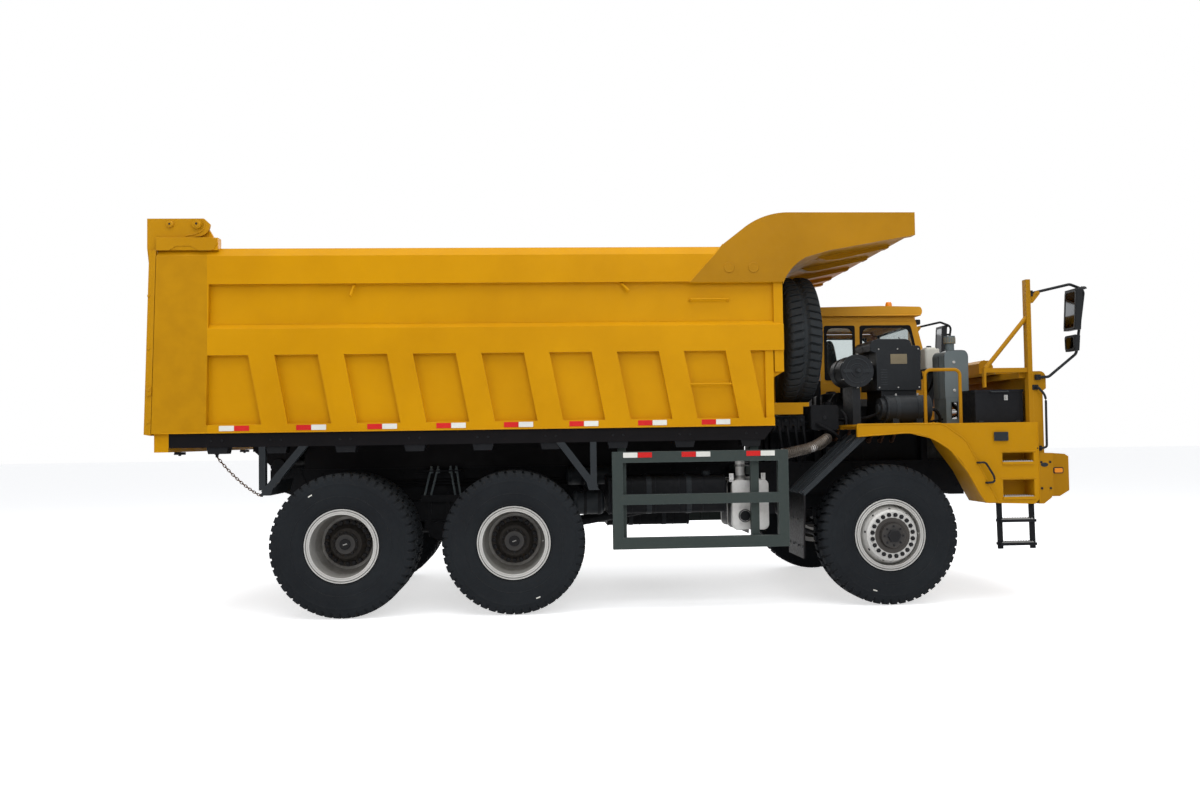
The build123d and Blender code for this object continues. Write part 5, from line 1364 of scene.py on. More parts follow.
deck = {
    "cleaner": (2.400, -1.252, 2.345), "cap": (3.478, -1.000, 2.640), "washer": (3.487, -0.40),
    # drum: X from and to, Y, Z and radius
    "drum": (2.646, 3.105, -1.300, 1.946, 0.140), "drumStrapX": (2.76, 2.985),
    # sections (x, z) of the intake box and the expansion tank, and where their seams run
    "boxSection": [(2.640, 2.150), (3.102, 2.150), (3.102, 2.590), (3.082, 2.606), (3.010, 2.606),
                   (2.990, 2.655), (2.950, 2.676), (2.640, 2.676), (2.592, 2.656), (2.576, 2.610),
                   (2.576, 2.560), (2.640, 2.540)],
    "boxSeamY": (-1.145, -0.885, -0.625),
    "tankSection": [(3.345, 2.058), (3.595, 2.058), (3.595, 2.500), (3.570, 2.545), (3.535, 2.552),
                    (3.405, 2.552), (3.370, 2.545), (3.345, 2.500)],
    "tankSeamY": (-1.176, -1.02, -0.864),
    # plain hoses: points, radius, bend and corners; from the tank to cowl and engine, then drains
    "hoses": (
        ([(3.52, -0.865, 2.12), (3.52, -0.78, 2.12), (3.60, -0.70, 2.02), (3.74, -0.60, 1.93),
          (3.80, -0.55, 1.80),
          (3.80, -0.52, 1.72)], 0.022, 0.07, 12),
        ([(3.50, -0.865, 2.50), (3.50, -0.80, 2.50), (3.44, -0.72, 2.42), (3.42, -0.62, 2.20),
          (3.34, -0.50, 2.06),
          (3.26, -0.40, 2.02)], 0.014, 0.06, 10),
        ([(2.62, -1.20, 1.90), (2.52, -1.14, 1.86), (2.36, -1.02, 1.84), (2.30, -0.74, 1.86),
          (2.34, -0.55, 1.86)],
         0.018, 0.05, 10),
        ([(3.115, -1.30, 1.946), (3.20, -1.29, 1.93), (3.26, -1.24, 1.86), (3.27, -1.20, 1.792)], 0.016,
         0.05, 10)),
    "intakeHose": [(2.42, -0.84, 2.345), (2.44, -0.70, 2.35), (2.48, -0.60, 2.28), (2.50, -0.50, 2.16),
                   (2.52, -0.42, 2.06)],
    "batteryCable": [(3.60, -1.19, 2.02), (3.58, -1.14, 1.98), (3.46, -1.13, 1.86), (3.20, -1.02, 1.81),
                     (2.9, -0.75, 1.81)]}
outward = (0, -1, 0)


def sectionSeam(bench, section, y, radius):
    # bead round a box's section at one place along Y
    path = [(x, y, z) for x, z in section]
    bench.add(*carried(ring(radius, 6), smoothPath([*path, path[0]], 0.012, 3)[:-1], True))


def makeAirCleaner(black, silver):
    # rolled rim, two swaged rings, cross bar with its wing nut, clips round the rim
    x, y, z = deck["cleaner"]
    for at, r in ((0.022, 0.166), (0.07, 0.1605), (0.30, 0.1605)):
        hoop(black, (x, y + at, z), outward, r, 0.0055, 48, 8)
    for r in (0.075, 0.125):
        hoop(black, (x, y, z), outward, r, 0.005, 40, 6)
    plate(black, rounded(0.30, 0.034, 0.012) + (x, z), "y", y - 0.012, y + 0.001)
    nut(black, (x, y - 0.013, z), 0.045, 0.022, outward, 0.018)
    for c, s in circle(6, 1.0, 0.5):
        spot = np.array((x + 0.171 * c, y + 0.02, z + 0.171 * s))
        tube(silver, [spot + (0, -0.028, 0), spot + (0.005 * c, 0.0, 0.005 * s), spot + (0, 0.05, 0)], 0.004,
             0.02, 6)


def makeIntakeBox(black, silver):
    # rolled seams, louvres and lid bolts
    for y in deck["boxSeamY"]:
        sectionSeam(black, deck["boxSection"], y, 0.005)
    for k in range(7):
        z = 2.20 + 0.026 * k
        boxPlate(black, 2.68, 2.745, -1.153, -1.149, z, z + 0.008)
    for x in (2.66, 2.86, 3.08):
        for z in (2.175, 2.575):
            nut(silver, (x, -1.150, z), 0.014, 0.007, outward)


def makeDrum(black, silver):
    # straps, end ring with bolts, drain and hose stubs
    x0, x1, y, z, radius = deck["drum"]
    for x in (x0 + 0.012, x1 - 0.012):
        hoop(black, (x, y, z), (1, 0, 0), radius, 0.005, 44, 6)
    outer = radius + 0.004
    for x in deck["drumStrapX"]:
        band = [(radius, -0.018), (outer, -0.018), (outer, 0.018), (radius, 0.018)]
        black.add(*turned(band, (x, y, z), 44, "x", True))
        nut(silver, (x, y - 0.05, z + radius * 0.93 + 0.006), 0.018, 0.02, (0, -0.4, 1))
    for k in range(8):
        a = math.pi * k / 4 + 0.2
        nut(silver, (x1, y + 0.115 * math.cos(a), z + 0.115 * math.sin(a)), 0.016, 0.008, (1, 0, 0))
    disc(black, (x1, y, z), (1, 0, 0), 0.045, 0.018, 0.004, 24)
    disc(black, (2.601, y, z), (-1, 0, 0), 0.05, 0.02, 0.004, 24)


def makeExpansionTank(grey, black, silver, rubber):
    # ribbed cap, seams, sight glass, hoses to the cowl and the engine
    x, y, z = deck["cap"]
    for dx, dy in circle(14, 0.056):
        boxPlate(grey, x + dx - 0.004, x + dx + 0.004, y + dy - 0.004, y + dy + 0.004, z + 0.008, z + 0.062)
    hoop(grey, (x, y, z + 0.002), (0, 0, 1), 0.056, 0.006, 32, 6)
    for y in deck["tankSeamY"]:
        sectionSeam(black, deck["tankSection"], y, 0.0045)
    for z in (2.428, 2.135):
        disc(silver, (3.443, -1.180, z), outward, 0.016, 0.008, 0.003, 20)
    for points, radius, bend, corners in deck["hoses"]:
        tube(rubber, points, radius, bend, corners)
    ribbedHose(rubber, deck["intakeHose"], 0.06, 0.09, 0.026, 0.05, 16)
    for spot, way, r in (((2.424, -0.80, 2.345), (0.1, 1, 0), 0.064),
                         ((2.515, -0.445, 2.09), (0.1, 0.6, -1), 0.063)):
        hoop(silver, spot, way, r, 0.005, 28, 6)


def makeBatteryBox(black, silver, rubber):
    # lid handle, latch, feet and cable
    y, z = -1.565, 2.100
    tube(black, [(3.66, -1.538, 2.108), (3.66, y, z), (3.84, y, z), (3.84, -1.538, 2.108)], 0.007, 0.015, 8)
    boxPlate(silver, 3.803, 3.839, -1.540, -1.530, 2.015, 2.067)
    nut(silver, (3.821, -1.540, 2.041), 0.02, 0.01, outward)
    for x in (3.56, 3.94):
        boxPlate(black, x - 0.02, x + 0.02, -1.545, -1.529, 1.795, 1.81)
    tube(rubber, deck["batteryCable"], 0.011, 0.06, 8)


def makeWasherTank(white, rubber, black):
    # pale plastic tank with a cap, on its post
    x, y = deck["washer"]
    plate(white, rounded(0.17, 0.22, 0.03) + (x, y), "z", 2.404, 2.630)
    plate(white, rounded(0.12, 0.16, 0.03) + (x, y), "z", 2.628, 2.648)
    disc(rubber, (x, y, 2.647), (0, 0, 1), 0.028, 0.022, 0.005, 20)
    boxPlate(black, 3.395, 3.58, -0.52, -0.28, 2.392, 2.405)
    boxPlate(black, 3.46, 3.515, -0.43, -0.37, 1.99, 2.393)


def makeDeck():
    black, silver, rubber, white, grey = benches(5)
    makeAirCleaner(black, silver)
    makeIntakeBox(black, silver)
    makeDrum(black, silver)
    makeExpansionTank(grey, black, silver, rubber)
    makeBatteryBox(black, silver, rubber)
    makeWasherTank(white, rubber, black)
    # the intake box's blank plate
    plate(grey, rounded(0.174, 0.102, 0.006) + (2.871, 2.471), "y", -1.1535, -1.1495)
    black.make("deckRims", "deckBlack", smooth=40)
    silver.make("deckClips", "zincSteel", smooth=35)
    rubber.make("deckHoses", "windowRubber", smooth=50)
    white.make("washerTank", "whitePlastic", bevel=0.008)
    grey.make("deckCapAndPlate", "brassCap", bevel=0.001)


# filters on the engine's side: X, radius and foot
engineSide = {"runners": 6, "runnerFrom": 2.42, "runnerPitch": 0.13, "ribs": 9, "ribFrom": 1.62,
              "ribPitch": 0.16,
              "filters": ((1.75, 0.055, 1.20), (1.90, 0.055, 1.20), (2.05, 0.048, 1.24))}


def makeEngineSide():
    # exhaust runners, oil and fuel filters and block ribs seen over the guard
    spec = engineSide
    steel, parts = benches(2)
    for k in range(spec["runners"]):
        x = spec["runnerFrom"] + spec["runnerPitch"] * k
        path = [(x, -0.31, 1.62), (x + 0.01, -0.36, 1.66), (x + 0.02, -0.40, 1.76), (x + 0.02, -0.47, 1.80)]
        tube(steel, path, 0.018, 0.05, 10)
        hoop(steel, (x, -0.305, 1.62), outward, 0.024, 0.006, 18, 6)
        for z in (1.84, 1.95):
            nut(parts, (x + 0.05, -0.561, z), 0.022, 0.014, outward)
    for x, r, low in spec["filters"]:
        can = [(0.0, 0.0), (r * 0.8, 0.0), (r, 0.012), (r, 0.19), (r * 1.06, 0.195), (r * 1.06, 0.215),
               (r * 0.7, 0.23), (0.0, 0.23)]
        parts.add(*turned(can, (x, -0.345, low), 28, "z", False))
        boxPlate(parts, x - 0.03, x + 0.03, -0.35, -0.295, low + 0.20, low + 0.24)
    for k in range(spec["ribs"]):
        x = spec["ribFrom"] + spec["ribPitch"] * k
        boxPlate(parts, x, x + 0.008, -0.306, -0.299, 1.02, 1.56)
    steel.make("exhaustRunners", "rustSteel", smooth=50, slot="silencer_coat")
    parts.make("engineFittings", "engineBlack", smooth=35)


makeDeck()
makeEngineSide()
print("deck made")


# ---- cab: window rubbers, lamps, wipers, door, and what shows inside

def pane(x0, x1, z0, z1, slope=0.0):
    # window corners from the lower rear one on; the front edge leans back by slope
    return [(x0, z0), (x1, z0), (x1 - slope, z1), (x0, z1)]


cab = {"right": 0.020, "left": 1.450, "back": 2.370, "wiperY": (0.36, 0.98), "lampY": (0.20, 1.27),
       "windows": {
    "rightRear": pane(2.43, 2.77, 2.33, 2.94), "rightFront": pane(2.85, 3.565, 2.33, 2.94, 0.135),
    "leftRear": pane(2.43, 2.64, 2.33, 2.94), "door": pane(2.77, 3.495, 2.33, 2.94, 0.115),
    "screen": pane(0.11, 1.36, 2.40, 2.96), "back": pane(0.14, 1.33, 2.35, 2.90)}}


def screenX(z):
    # the windscreen leans back by 0.242 for every metre up
    return 3.632 - 0.242 * (z - 2.40)


def makeWindows():
    rubber, door = benches(2)
    openings = cab["windows"]
    for name in ("rightRear", "rightFront"):
        windowFrame(rubber, openings[name], lambda u, v, d: (u, cab["right"] - d, v))
    windowFrame(rubber, openings["leftRear"], lambda u, v, d: (u, cab["left"] + d, v), radius=0.05)
    windowFrame(rubber, openings["screen"], lambda u, v, d: (screenX(v) + 0.010 + d, u, v))
    windowFrame(rubber, openings["back"], lambda u, v, d: (cab["back"] - d, u, v))
    windowFrame(door, openings["door"], lambda u, v, d: (u, cab["left"] + d, v))
    # wipers: spindle, arm and blade on the slanted screen
    for y in cab["wiperY"]:
        def at(dy, z, d):
            return screenX(z) + 0.012 + d, y + dy, z
        disc(rubber, at(0, 2.372, -0.01), (1, 0, 0.25), 0.016, 0.03, 0.004, 16)
        tube(rubber, [at(0, 2.372, 0.016), at(0.10, 2.52, 0.024), at(0.20, 2.68, 0.018)], 0.006, 0.05, 8)
        tube(rubber, [at(0.06, 2.46, 0.010), at(0.20, 2.68, 0.012), at(0.33, 2.88, 0.010)], 0.0055, 0.05, 6)
    rubber.make("windowRubbers", "windowRubber", smooth=40)
    door.make("doorRubber", "windowRubber", "cab_door", smooth=40)


def makeRoofFittings():
    # beacon, work lamps under the peak, gutters and body seams
    amber, black, clear, paint = benches(4)
    foot = [(0.0, 0.0), (0.050, 0.0), (0.050, 0.046), (0.044, 0.052), (0.0, 0.052)]
    black.add(*turned(foot, (3.427, 0.70, 3.162), 28, "z", False))
    dome = [(0.0, 0.0), (0.041, 0.0), (0.042, 0.05), (0.040, 0.078), (0.030, 0.098), (0.0, 0.106)]
    amber.add(*turned(dome, (3.427, 0.70, 3.213), 28, "z", False))
    for y in cab["lampY"]:
        plate(black, rounded(0.062, 0.060, 0.012) + (3.580, 3.002), "y", y - 0.045, y + 0.045)
        plate(clear, rounded(0.074, 0.044, 0.008) + (y, 3.002), "x", 3.609, 3.616)
        boxPlate(black, 3.52, 3.56, y - 0.012, y + 0.012, 3.028, 3.057)
    for y in (-0.032, 1.502):
        tube(paint, [(2.315, y, 3.060), (3.545, y, 3.060)], 0.007, 0.02, 8)
    for z in (2.20, 2.285):
        weld(paint, (2.40, 0.0195, z), (3.60, 0.0195, z), 0.004)
    tube(paint, [(2.40, 0.021, 3.00), (3.44, 0.021, 3.00)], 0.005, 0.02, 6)
    amber.make("beaconDome", "amberLens", smooth=40)
    black.make("cabLampBodies", "blackPlastic", smooth=35)
    clear.make("cabLampLenses", "clearLens", bevel=0.002)
    paint.make("cabSeams", "cabPaint", smooth=50)


def makeDoorFittings():
    # lock, handle, hinge bolts, pressed panel edge, and the grab bars beside the door
    lock, panel, bars = benches(3)
    disc(lock, (2.755, 1.490, 2.165), (0, 1, 0), 0.014, 0.006, 0.002, 20)
    tube(lock, [(2.755, 1.448, 2.31), (2.755, 1.498, 2.31), (2.755, 1.498, 2.19), (2.755, 1.448, 2.19)],
         0.009, 0.02, 8)
    seam(panel, roundCorners(pane(2.83, 3.46, 1.92, 2.24), 0.06), "y", 1.4505, 0.0045)
    for z in (1.99, 2.31):
        for x in (3.50, 3.54):
            nut(lock, (x, 1.460, z), 0.015, 0.007, (0, 1, 0))
    lock.make("doorLock", "blackPlastic", "cab_door", smooth=35)
    panel.make("doorPressing", "cabPaint", "cab_door", smooth=60)
    tube(bars, [(2.69, 1.449, 2.02), (2.69, 1.510, 2.02), (2.69, 1.510, 2.62), (2.69, 1.449, 2.62)], 0.012,
         0.03, 10)
    tube(bars, [(3.64, 1.452, 2.00), (3.66, 1.505, 2.00), (3.62, 1.505, 2.30), (3.61, 1.452, 2.30)], 0.012,
         0.03, 10)
    bars.make("cabGrabBars", "blackPlastic", smooth=35)


# dials: Y and radius; levers: X, Y and top; pedals: Y and width
inside = {"dials": ((0.58, 0.036), (0.67, 0.045), (0.78, 0.045), (0.87, 0.036), (0.95, 0.028)),
          "switches": 10,
          "levers": ((3.02, 0.42, 2.36), (2.86, 0.36, 2.28)),
          "pedals": ((0.92, 0.07), (0.74, 0.08), (0.58, 0.07)),
          "hood": [(3.40, 0.53, 2.325), (3.47, 0.53, 2.43), (3.47, 1.00, 2.43),
                   (3.40, 1.00, 2.325)], "matRibs": 20}


def makeLevers(black):
    # hand lever for the hoist and gear lever, each with a knob and a rubber boot
    knob = [(0.0, -0.035), (0.012, -0.032), (0.022, -0.010), (0.024, 0.010), (0.018, 0.028), (0.0, 0.034)]
    boot = [(0.055, 0.0), (0.048, 0.02), (0.034, 0.03), (0.030, 0.05), (0.018, 0.07), (0.0, 0.07), (0.0, 0.0)]
    for x, y, top in inside["levers"]:
        tube(black, [(x - 0.05, y, 1.84), (x - 0.02, y, 2.05), (x, y, top)], 0.009, 0.05, 10)
        black.add(*turned(knob, (x, y, top), 20, "z", False))
        black.add(*turned(boot, (x - 0.05, y, 1.835), 20, "z", False))


def makePedals(black):
    c, s = math.cos(0.6), math.sin(0.6)
    tilt = np.array([(c, 0, -s), (0, 1, 0), (s, 0, c)])
    for y, wide in inside["pedals"]:
        pad = rounded(wide, 0.11, 0.012)
        points = np.concatenate([lifted(pad, "x", d) for d in (0.0, 0.012)])
        black.add(points @ tilt + (3.30, y, 1.95), slabFaces(len(pad)))
        tube(black, [(3.31, y, 1.95), (3.36, y, 2.06), (3.385, y, 2.14)], 0.007, 0.03, 8)


def makeInside():
    black, dials, mat = benches(3)
    slope = np.array((-0.59, 0, 0.81))
    for y, r in inside["dials"]:
        spot = np.array((3.435, y, 2.3405))
        hoop(black, spot + slope * 0.003, slope, r, 0.005, 28, 8)
        disc(dials, spot, slope, r - 0.003, 0.003, 0.001, 28)
    for k in range(inside["switches"]):
        disc(black, (3.462, 0.18 + 0.034 * k, 2.361), slope, 0.011, 0.012, 0.003, 12)
    makeLevers(black)
    makePedals(black)
    # hood over the dials, and the ribbed mat
    black.add(*carried(rounded(0.05, 0.008, 0.003), smoothPath(inside["hood"], 0.06)))
    plate(mat, rounded(0.86, 1.24, 0.05) + (2.93, 0.735), "z", 1.8345, 1.842)
    for k in range(inside["matRibs"]):
        y = 0.16 + 0.06 * k
        boxPlate(mat, 2.54, 3.32, y, y + 0.012, 1.841, 1.846)
    black.make("cabLevers", "blackPlastic", smooth=40)
    dials.make("blankDials", "whitePlastic", smooth=30, slot="black_plastic")
    mat.make("floorMat", "windowRubber", bevel=0.001)


makeWindows()
makeRoofFittings()
makeDoorFittings()
makeInside()
print("cab made")


# ---- under the body: spring gear, brake chambers, member ends, mudguard ribs, tanks behind the cab

def springClip(bench, x, y0, y1, z0, z1):
    # flat strap round a leaf pack with its bolt across the top
    for low, high, top in ((y0 - 0.006, y0, z1 + 0.014), (y1, y1 + 0.006, z1 + 0.014),
                           (y0 - 0.001, y1 + 0.001, z0)):
        boxPlate(bench, x - 0.02, x + 0.02, low, high, z0 - 0.006, top)
    tube(bench, [(x, y0 - 0.014, z1 + 0.008), (x, y1 + 0.014, z1 + 0.008)], 0.006, 0.01, 8)
    for y, out in ((y0 - 0.006, -1), (y1 + 0.006, 1)):
        nut(bench, (x, y, z1 + 0.008), 0.018, 0.008, (0, out, 0))


def brakeChamber(bench, x, y, z, way):
    # two domed halves clamped by a band, and the push rod
    profile = [(0.0, 0.0), (0.045, 0.004), (0.066, 0.022), (0.070, 0.060), (0.078, 0.064), (0.078, 0.078),
               (0.070, 0.082), (0.066, 0.120), (0.045, 0.138), (0.0, 0.142)]
    standing(bench, profile, (x, y, z), (way, 0, 0), 28)
    tube(bench, [(x + way * 0.138, y, z), (x + way * 0.20, y, z)], 0.010, 0.02, 8)
    hoop(bench, (x + way * 0.20, y, z), (0, 1, 0), 0.014, 0.006, 16, 6)


bogieX = (axleX["mid"] + axleX["rear"]) / 2
# clips: distances from the spring's middle; reach and step tell how many leaves are under a clip
springs = {"rearClips": (-0.62, -0.40, 0.40, 0.62), "frontClips": (-0.45, -0.28, 0.28, 0.45), "leaf": 0.02,
           "rearReach": 0.83, "rearStep": 0.062, "frontReach": 0.82, "frontStep": 0.088,
           # rods: shift of head and foot from the bogie's middle, and foot height
           "rods": ((-0.070, -0.145, 1.112), (0.000, -0.080, 1.112), (0.128, 0.176, 1.112),
                    (0.190, 0.238, 1.06))}


def makeSprings(steel, black, rods, side):
    up, down, leaf = (0, 0, 1), (0, 0, -1), springs["leaf"]
    for dx in springs["rearClips"]:
        leaves = int((springs["rearReach"] - abs(dx)) / springs["rearStep"]) + 1
        springClip(steel, bogieX + dx, *sided(side, 0.480, 0.590), 0.842, 0.842 + leaf * leaves)
    for dx in springs["frontClips"]:
        leaves = int((springs["frontReach"] - abs(dx)) / springs["frontStep"]) + 1
        springClip(steel, frontX + dx, *sided(side, 0.370, 0.470), 0.880 - leaf * leaves, 0.880)
    # slanted rods in pairs from a plate on the frame down to the spring pack
    boxPlate(black, bogieX - 0.16, bogieX + 0.24, *sided(side, 0.455, 0.640), 1.362, 1.374)
    boxPlate(black, bogieX - 0.16, bogieX + 0.24, *sided(side, 0.451, 0.463), 1.262, 1.374)
    y = side * 0.628
    for head, foot, low in springs["rods"]:
        tube(rods, [(bogieX + head, y, 1.42), (bogieX + foot, y, low)], 0.0115, 0.02, 10)
        nut(rods, (bogieX + head, y, 1.374), 0.032, 0.018, up)
        nut(rods, (bogieX + head, y, 1.362), 0.032, 0.018, down)
    boxPlate(black, bogieX - 0.18, bogieX + 0.27, *sided(side, 0.612, 0.650), 1.045, 1.112)
    for dx in (-0.095, 0.095):
        for y in (0.470, 0.600):
            nut(steel, (bogieX + dx, side * y, 0.700), 0.030, 0.02, down, 0.012)
            nut(steel, (bogieX + dx, side * y, 1.130), 0.026, 0.012, up)


# lines: height on the web and radius
frameLines = ((1.235, 0.010), (1.265, 0.008), (1.200, 0.012))
frameBolts = {"count": 26, "from": -3.5, "pitch": 0.29, "z": (1.115, 1.345), "gapX": axleX["rear"] - 0.86}


def makeFrameLines(black, hoses, side):
    # frame bolts along both flanges, and the brake and hydraulic lines clipped to the web
    for k in range(frameBolts["count"]):
        x = frameBolts["from"] + frameBolts["pitch"] * k
        if abs(x - frameBolts["gapX"]) > 0.35:
            for z in frameBolts["z"]:
                nut(black, (x, side * 0.450, z), 0.024, 0.010, (0, side, 0))
    near, over = side * 0.462, side * 0.480
    for z, r in frameLines:
        tube(hoses, [(-3.30, near, z), (-2.30, near, z), (-2.20, over, z + 0.01), (-1.66, over, z + 0.01),
                     (-1.55, near, z), (0.60, near, z), (0.75, near, z - 0.02),
                     (1.50, near, z - 0.02)], r, 0.04, 8)
    for axle in ("mid", "rear"):
        x = axleX[axle]
        tube(hoses, [(x - 0.13, side * 0.385, 0.952), (x - 0.16, side * 0.43, 1.02),
                     (x - 0.20, side * 0.470, 1.12),
                     (x - 0.22, side * 0.468, 1.225)], 0.009, 0.05, 8)


# flanges of the drive shafts: X, Z and the way their bolts point
flanges = ((-2.318, 0.725, 1), (-1.492, 0.725, -1), (-0.678, 0.725, 1), (1.058, 1.01, -1))


def makeRunningGear():
    steel, black, hoses, rods = benches(4)
    # shock absorber: dust tube over a rod
    damper = [(0.0, 0.0), (0.032, 0.0), (0.032, 0.20), (0.040, 0.205), (0.040, 0.40), (0.014, 0.405),
              (0.014, 0.43), (0.0, 0.43)]
    for side in (-1, 1):
        makeSprings(steel, black, rods, side)
        for axle in ("mid", "rear"):
            x = axleX[axle]
            for way in (-1, 1):
                brakeChamber(black, x + way * 0.13, side * 0.385, 0.882, way)
            boxPlate(black, x - 0.15, x + 0.15, *sided(side, 0.37, 0.40), 0.785, 0.815)
        makeFrameLines(black, hoses, side)
        standing(black, damper, (frontX - 0.22, side * 0.53, 0.80), (0.16, 0, 1), 20)
    for x, z, way in flanges:
        for dy, dz in circle(8, 0.072):
            nut(steel, (x, dy, z + dz), 0.018, 0.01, (way, 0, 0))
    rods.make("springRods", "tankGrey", smooth=35)
    steel.make("springClips", "engineBlack", smooth=35)
    black.make("brakeChambers", "chassisBlack", smooth=35)
    hoses.make("frameLines", "windowRubber", smooth=50)


members = {"count": 9, "secondX": -3.3825, "pitch": 0.655, "firstShift": 0.10}
flapRibY = (1.095, 1.275, 1.465, 1.628)


def makeBodyUnderside():
    # tapered ends of the floor's cross-members with their bolts, and the ribs behind the front mudguards
    ends, ribs = benches(2)
    for side in (-1, 1):
        for k in range(members["count"]):
            x = members["secondX"] + members["pitch"] * (k - 1) + (0.0 if k else members["firstShift"])
            plate(ends, [(x - 0.085, 1.592), (x + 0.085, 1.592), (x + 0.100, 1.655), (x - 0.100, 1.655)], "y",
                  *sided(side, 1.480, 1.628))
            for dx in (-0.05, 0.05):
                nut(ends, (x + dx, side * 1.640, 1.72), 0.022, 0.008, (0, side, 0))
        slope = [(frontX - 0.268, 1.700), (frontX - 0.250, 1.668), (frontX - 0.860, 1.118),
                 (frontX - 0.886, 1.134)]
        for y in flapRibY:
            plate(ribs, slope, "y", *sided(side, y - 0.009, y + 0.009))
            for z in (0.86, 0.60):
                nut(ribs, (frontX - 0.884, side * y, z), 0.022, 0.01, (-1, 0, 0))
    ends.make("memberEnds", "chassisBlack", "dump_body", bevel=0.002)
    ribs.make("guardRibs", "deckBlack", bevel=0.002)


behindCab = {
    # X, Y and Z from and to
    "tank": (1.950, 2.235, -1.100, 0.300, 1.745, 2.000),
    "valves": (1.585, 1.925, -0.960, -0.470, 1.745, 1.895),
    "valvePitch": 0.085, "can": (2.405, -0.26, 1.83),
    # hoses: points, radius, bend and corners; thin ones at valves and tank, thick ones at the cab's corner
    "tankHoses": (([(1.92, -0.90, 1.83), (2.02, -1.14, 1.80), (2.16, -1.15, 1.72), (2.28, -1.12, 1.62)],
                   0.016, 0.05, 10),
                  ([(2.26, -1.10, 1.95), (2.30, -1.13, 1.90), (2.31, -1.14, 1.82), (2.30, -1.12, 1.74)],
                   0.014, 0.04, 10)),
    "thickHoses": (([(2.31, -0.62, 1.86), (2.33, -0.60, 2.08), (2.42, -0.52, 2.14), (2.52, -0.50, 2.02),
                     (2.52, -0.48, 1.80)], 0.034, 0.08, 12),
                   ([(2.24, -0.30, 1.93), (2.31, -0.42, 1.97), (2.40, -0.46, 1.90), (2.44, -0.46, 1.78)],
                    0.026, 0.07, 12))}


def roundBox(x0, x1, z0, z1, radius):
    # rounded rectangle between two places in each direction
    return roundCorners([(x0, z0), (x1, z0), (x1, z1), (x0, z1)], radius)


def makeOilTank(black, steel):
    x0, x1, y0, y1, z0, z1 = behindCab["tank"]
    section = roundBox(x0, x1, z0, z1, 0.03)
    plate(black, section, "y", y0, y1)
    for y in np.linspace(y0 + 0.02, y1 - 0.02, 6):
        seam(black, section, "y", y, 0.006, 6)
    disc(black, (2.17, -0.95, z1 - 0.002), (0, 0, 1), 0.05, 0.04, 0.008, 24)
    disc(steel, (2.09, y0, 1.87), outward, 0.018, 0.008, 0.003, 18)
    for y in (-0.42, 0.39):
        for x in (1.97, 2.16):
            boxPlate(black, x, x + 0.05, y, y + 0.05, 1.398, 1.748)
    boxPlate(black, 1.97, 2.21, 0.30, 0.44, 1.73, 1.748)


def makeValves(black, steel):
    # a bank of four valve blocks, each with two ports and a hose, on its bracket
    x0, _, y0, y1, z0, z1 = behindCab["valves"]
    for k in range(4):
        a = x0 + behindCab["valvePitch"] * k
        x = a + 0.04
        plate(black, roundBox(a, a + 0.08, z0, z1, 0.012), "y", y0, y1)
        disc(steel, (x, y0, 1.85), outward, 0.018, 0.02, 0.004, 16)
        disc(steel, (x, y0, 1.785), outward, 0.014, 0.016, 0.004, 16)
        path = [(x, y0 - 0.01, 1.785), (x, y0 - 0.07, 1.77), (x + 0.01, y0 - 0.08, 1.66),
                (x + 0.06, y0 + 0.02, 1.48)]
        tube(black, path, 0.014, 0.05, 10)
    boxPlate(black, 1.58, 2.0, -0.94, -0.40, 1.730, 1.746)
    boxPlate(black, 1.60, 1.66, -0.45, -0.39, 1.398, 1.735)


def makeBehindCab():
    # oil tank and valves between the spare wheel's shelf and the deck, then what stands at the cab's back
    black, steel = benches(2)
    makeOilTank(black, steel)
    makeValves(black, steel)
    for points, radius, bend, corners in behindCab["tankHoses"]:
        tube(black, points, radius, bend, corners)
    # steering oil can and its bracket in front of the cab's corner
    can = [(0.0, 0.0), (0.105, 0.0), (0.115, 0.012), (0.115, 0.30), (0.108, 0.315), (0.06, 0.325),
           (0.05, 0.345), (0.0, 0.348)]
    black.add(*turned(can, behindCab["can"], 36, "z", False))
    boxPlate(black, 2.29, 2.60, -0.40, -0.10, 1.792, 1.835)
    plate(black, roundBox(2.27, 2.66, 1.83, 2.14, 0.03), "y", -0.13, -0.03)
    # heater box on the cab's back, with ribs across its face
    plate(black, roundBox(0.025, 1.28, 1.80, 2.315, 0.03), "x", 2.262, 2.3695)
    for z in np.linspace(1.88, 2.24, 6):
        tube(black, [(2.262, 0.07, z), (2.262, 1.23, z)], 0.006, 0.02, 6)
    for points, radius, bend, corners in behindCab["thickHoses"]:
        tube(black, points, radius, bend, corners)
    black.make("behindCabUnits", "chassisBlack", smooth=35)
    steel.make("valveFittings", "engineBlack", smooth=35)


fenderLip = {
    "top": [(2.255, 1.789), (3.112, 1.789), (3.341, 1.621), (3.456, 1.401), (3.655, 1.003)],
    "arch": [(2.257, 1.672), (2.760, 1.703), (2.90, 1.684), (3.02, 1.634), (3.186, 1.528), (3.362, 1.298),
             (3.478, 1.079), (3.532, 1.004)],
    "stepZ": (1.502, 1.234)}


def makeFenderLips():
    # rolled lips along the flare's upper edge, the wheel arch and both steps
    for tag, side in sides.items():
        bench = Bench()
        y, stepY = side * 1.668, side * 1.651
        tube(bench, [(x, y, z) for x, z in fenderLip["top"]], 0.0075, 0.06, 8)
        tube(bench, [(x, y, z) for x, z in fenderLip["arch"]], 0.0075, 0.05, 8)
        tube(bench, [(2.257, y, 1.67), (2.257, y, 1.789)], 0.0075, 0.02, 8)
        for z in fenderLip["stepZ"]:
            tube(bench, [(3.700, stepY, z), (4.050, stepY, z)], 0.006, 0.02, 8)
        weld(bench, (4.086, stepY, 1.00), (4.086, stepY, 1.79), 0.005)
        bench.make("fenderLips" + tag, "shadedYellowPaint", smooth=60)


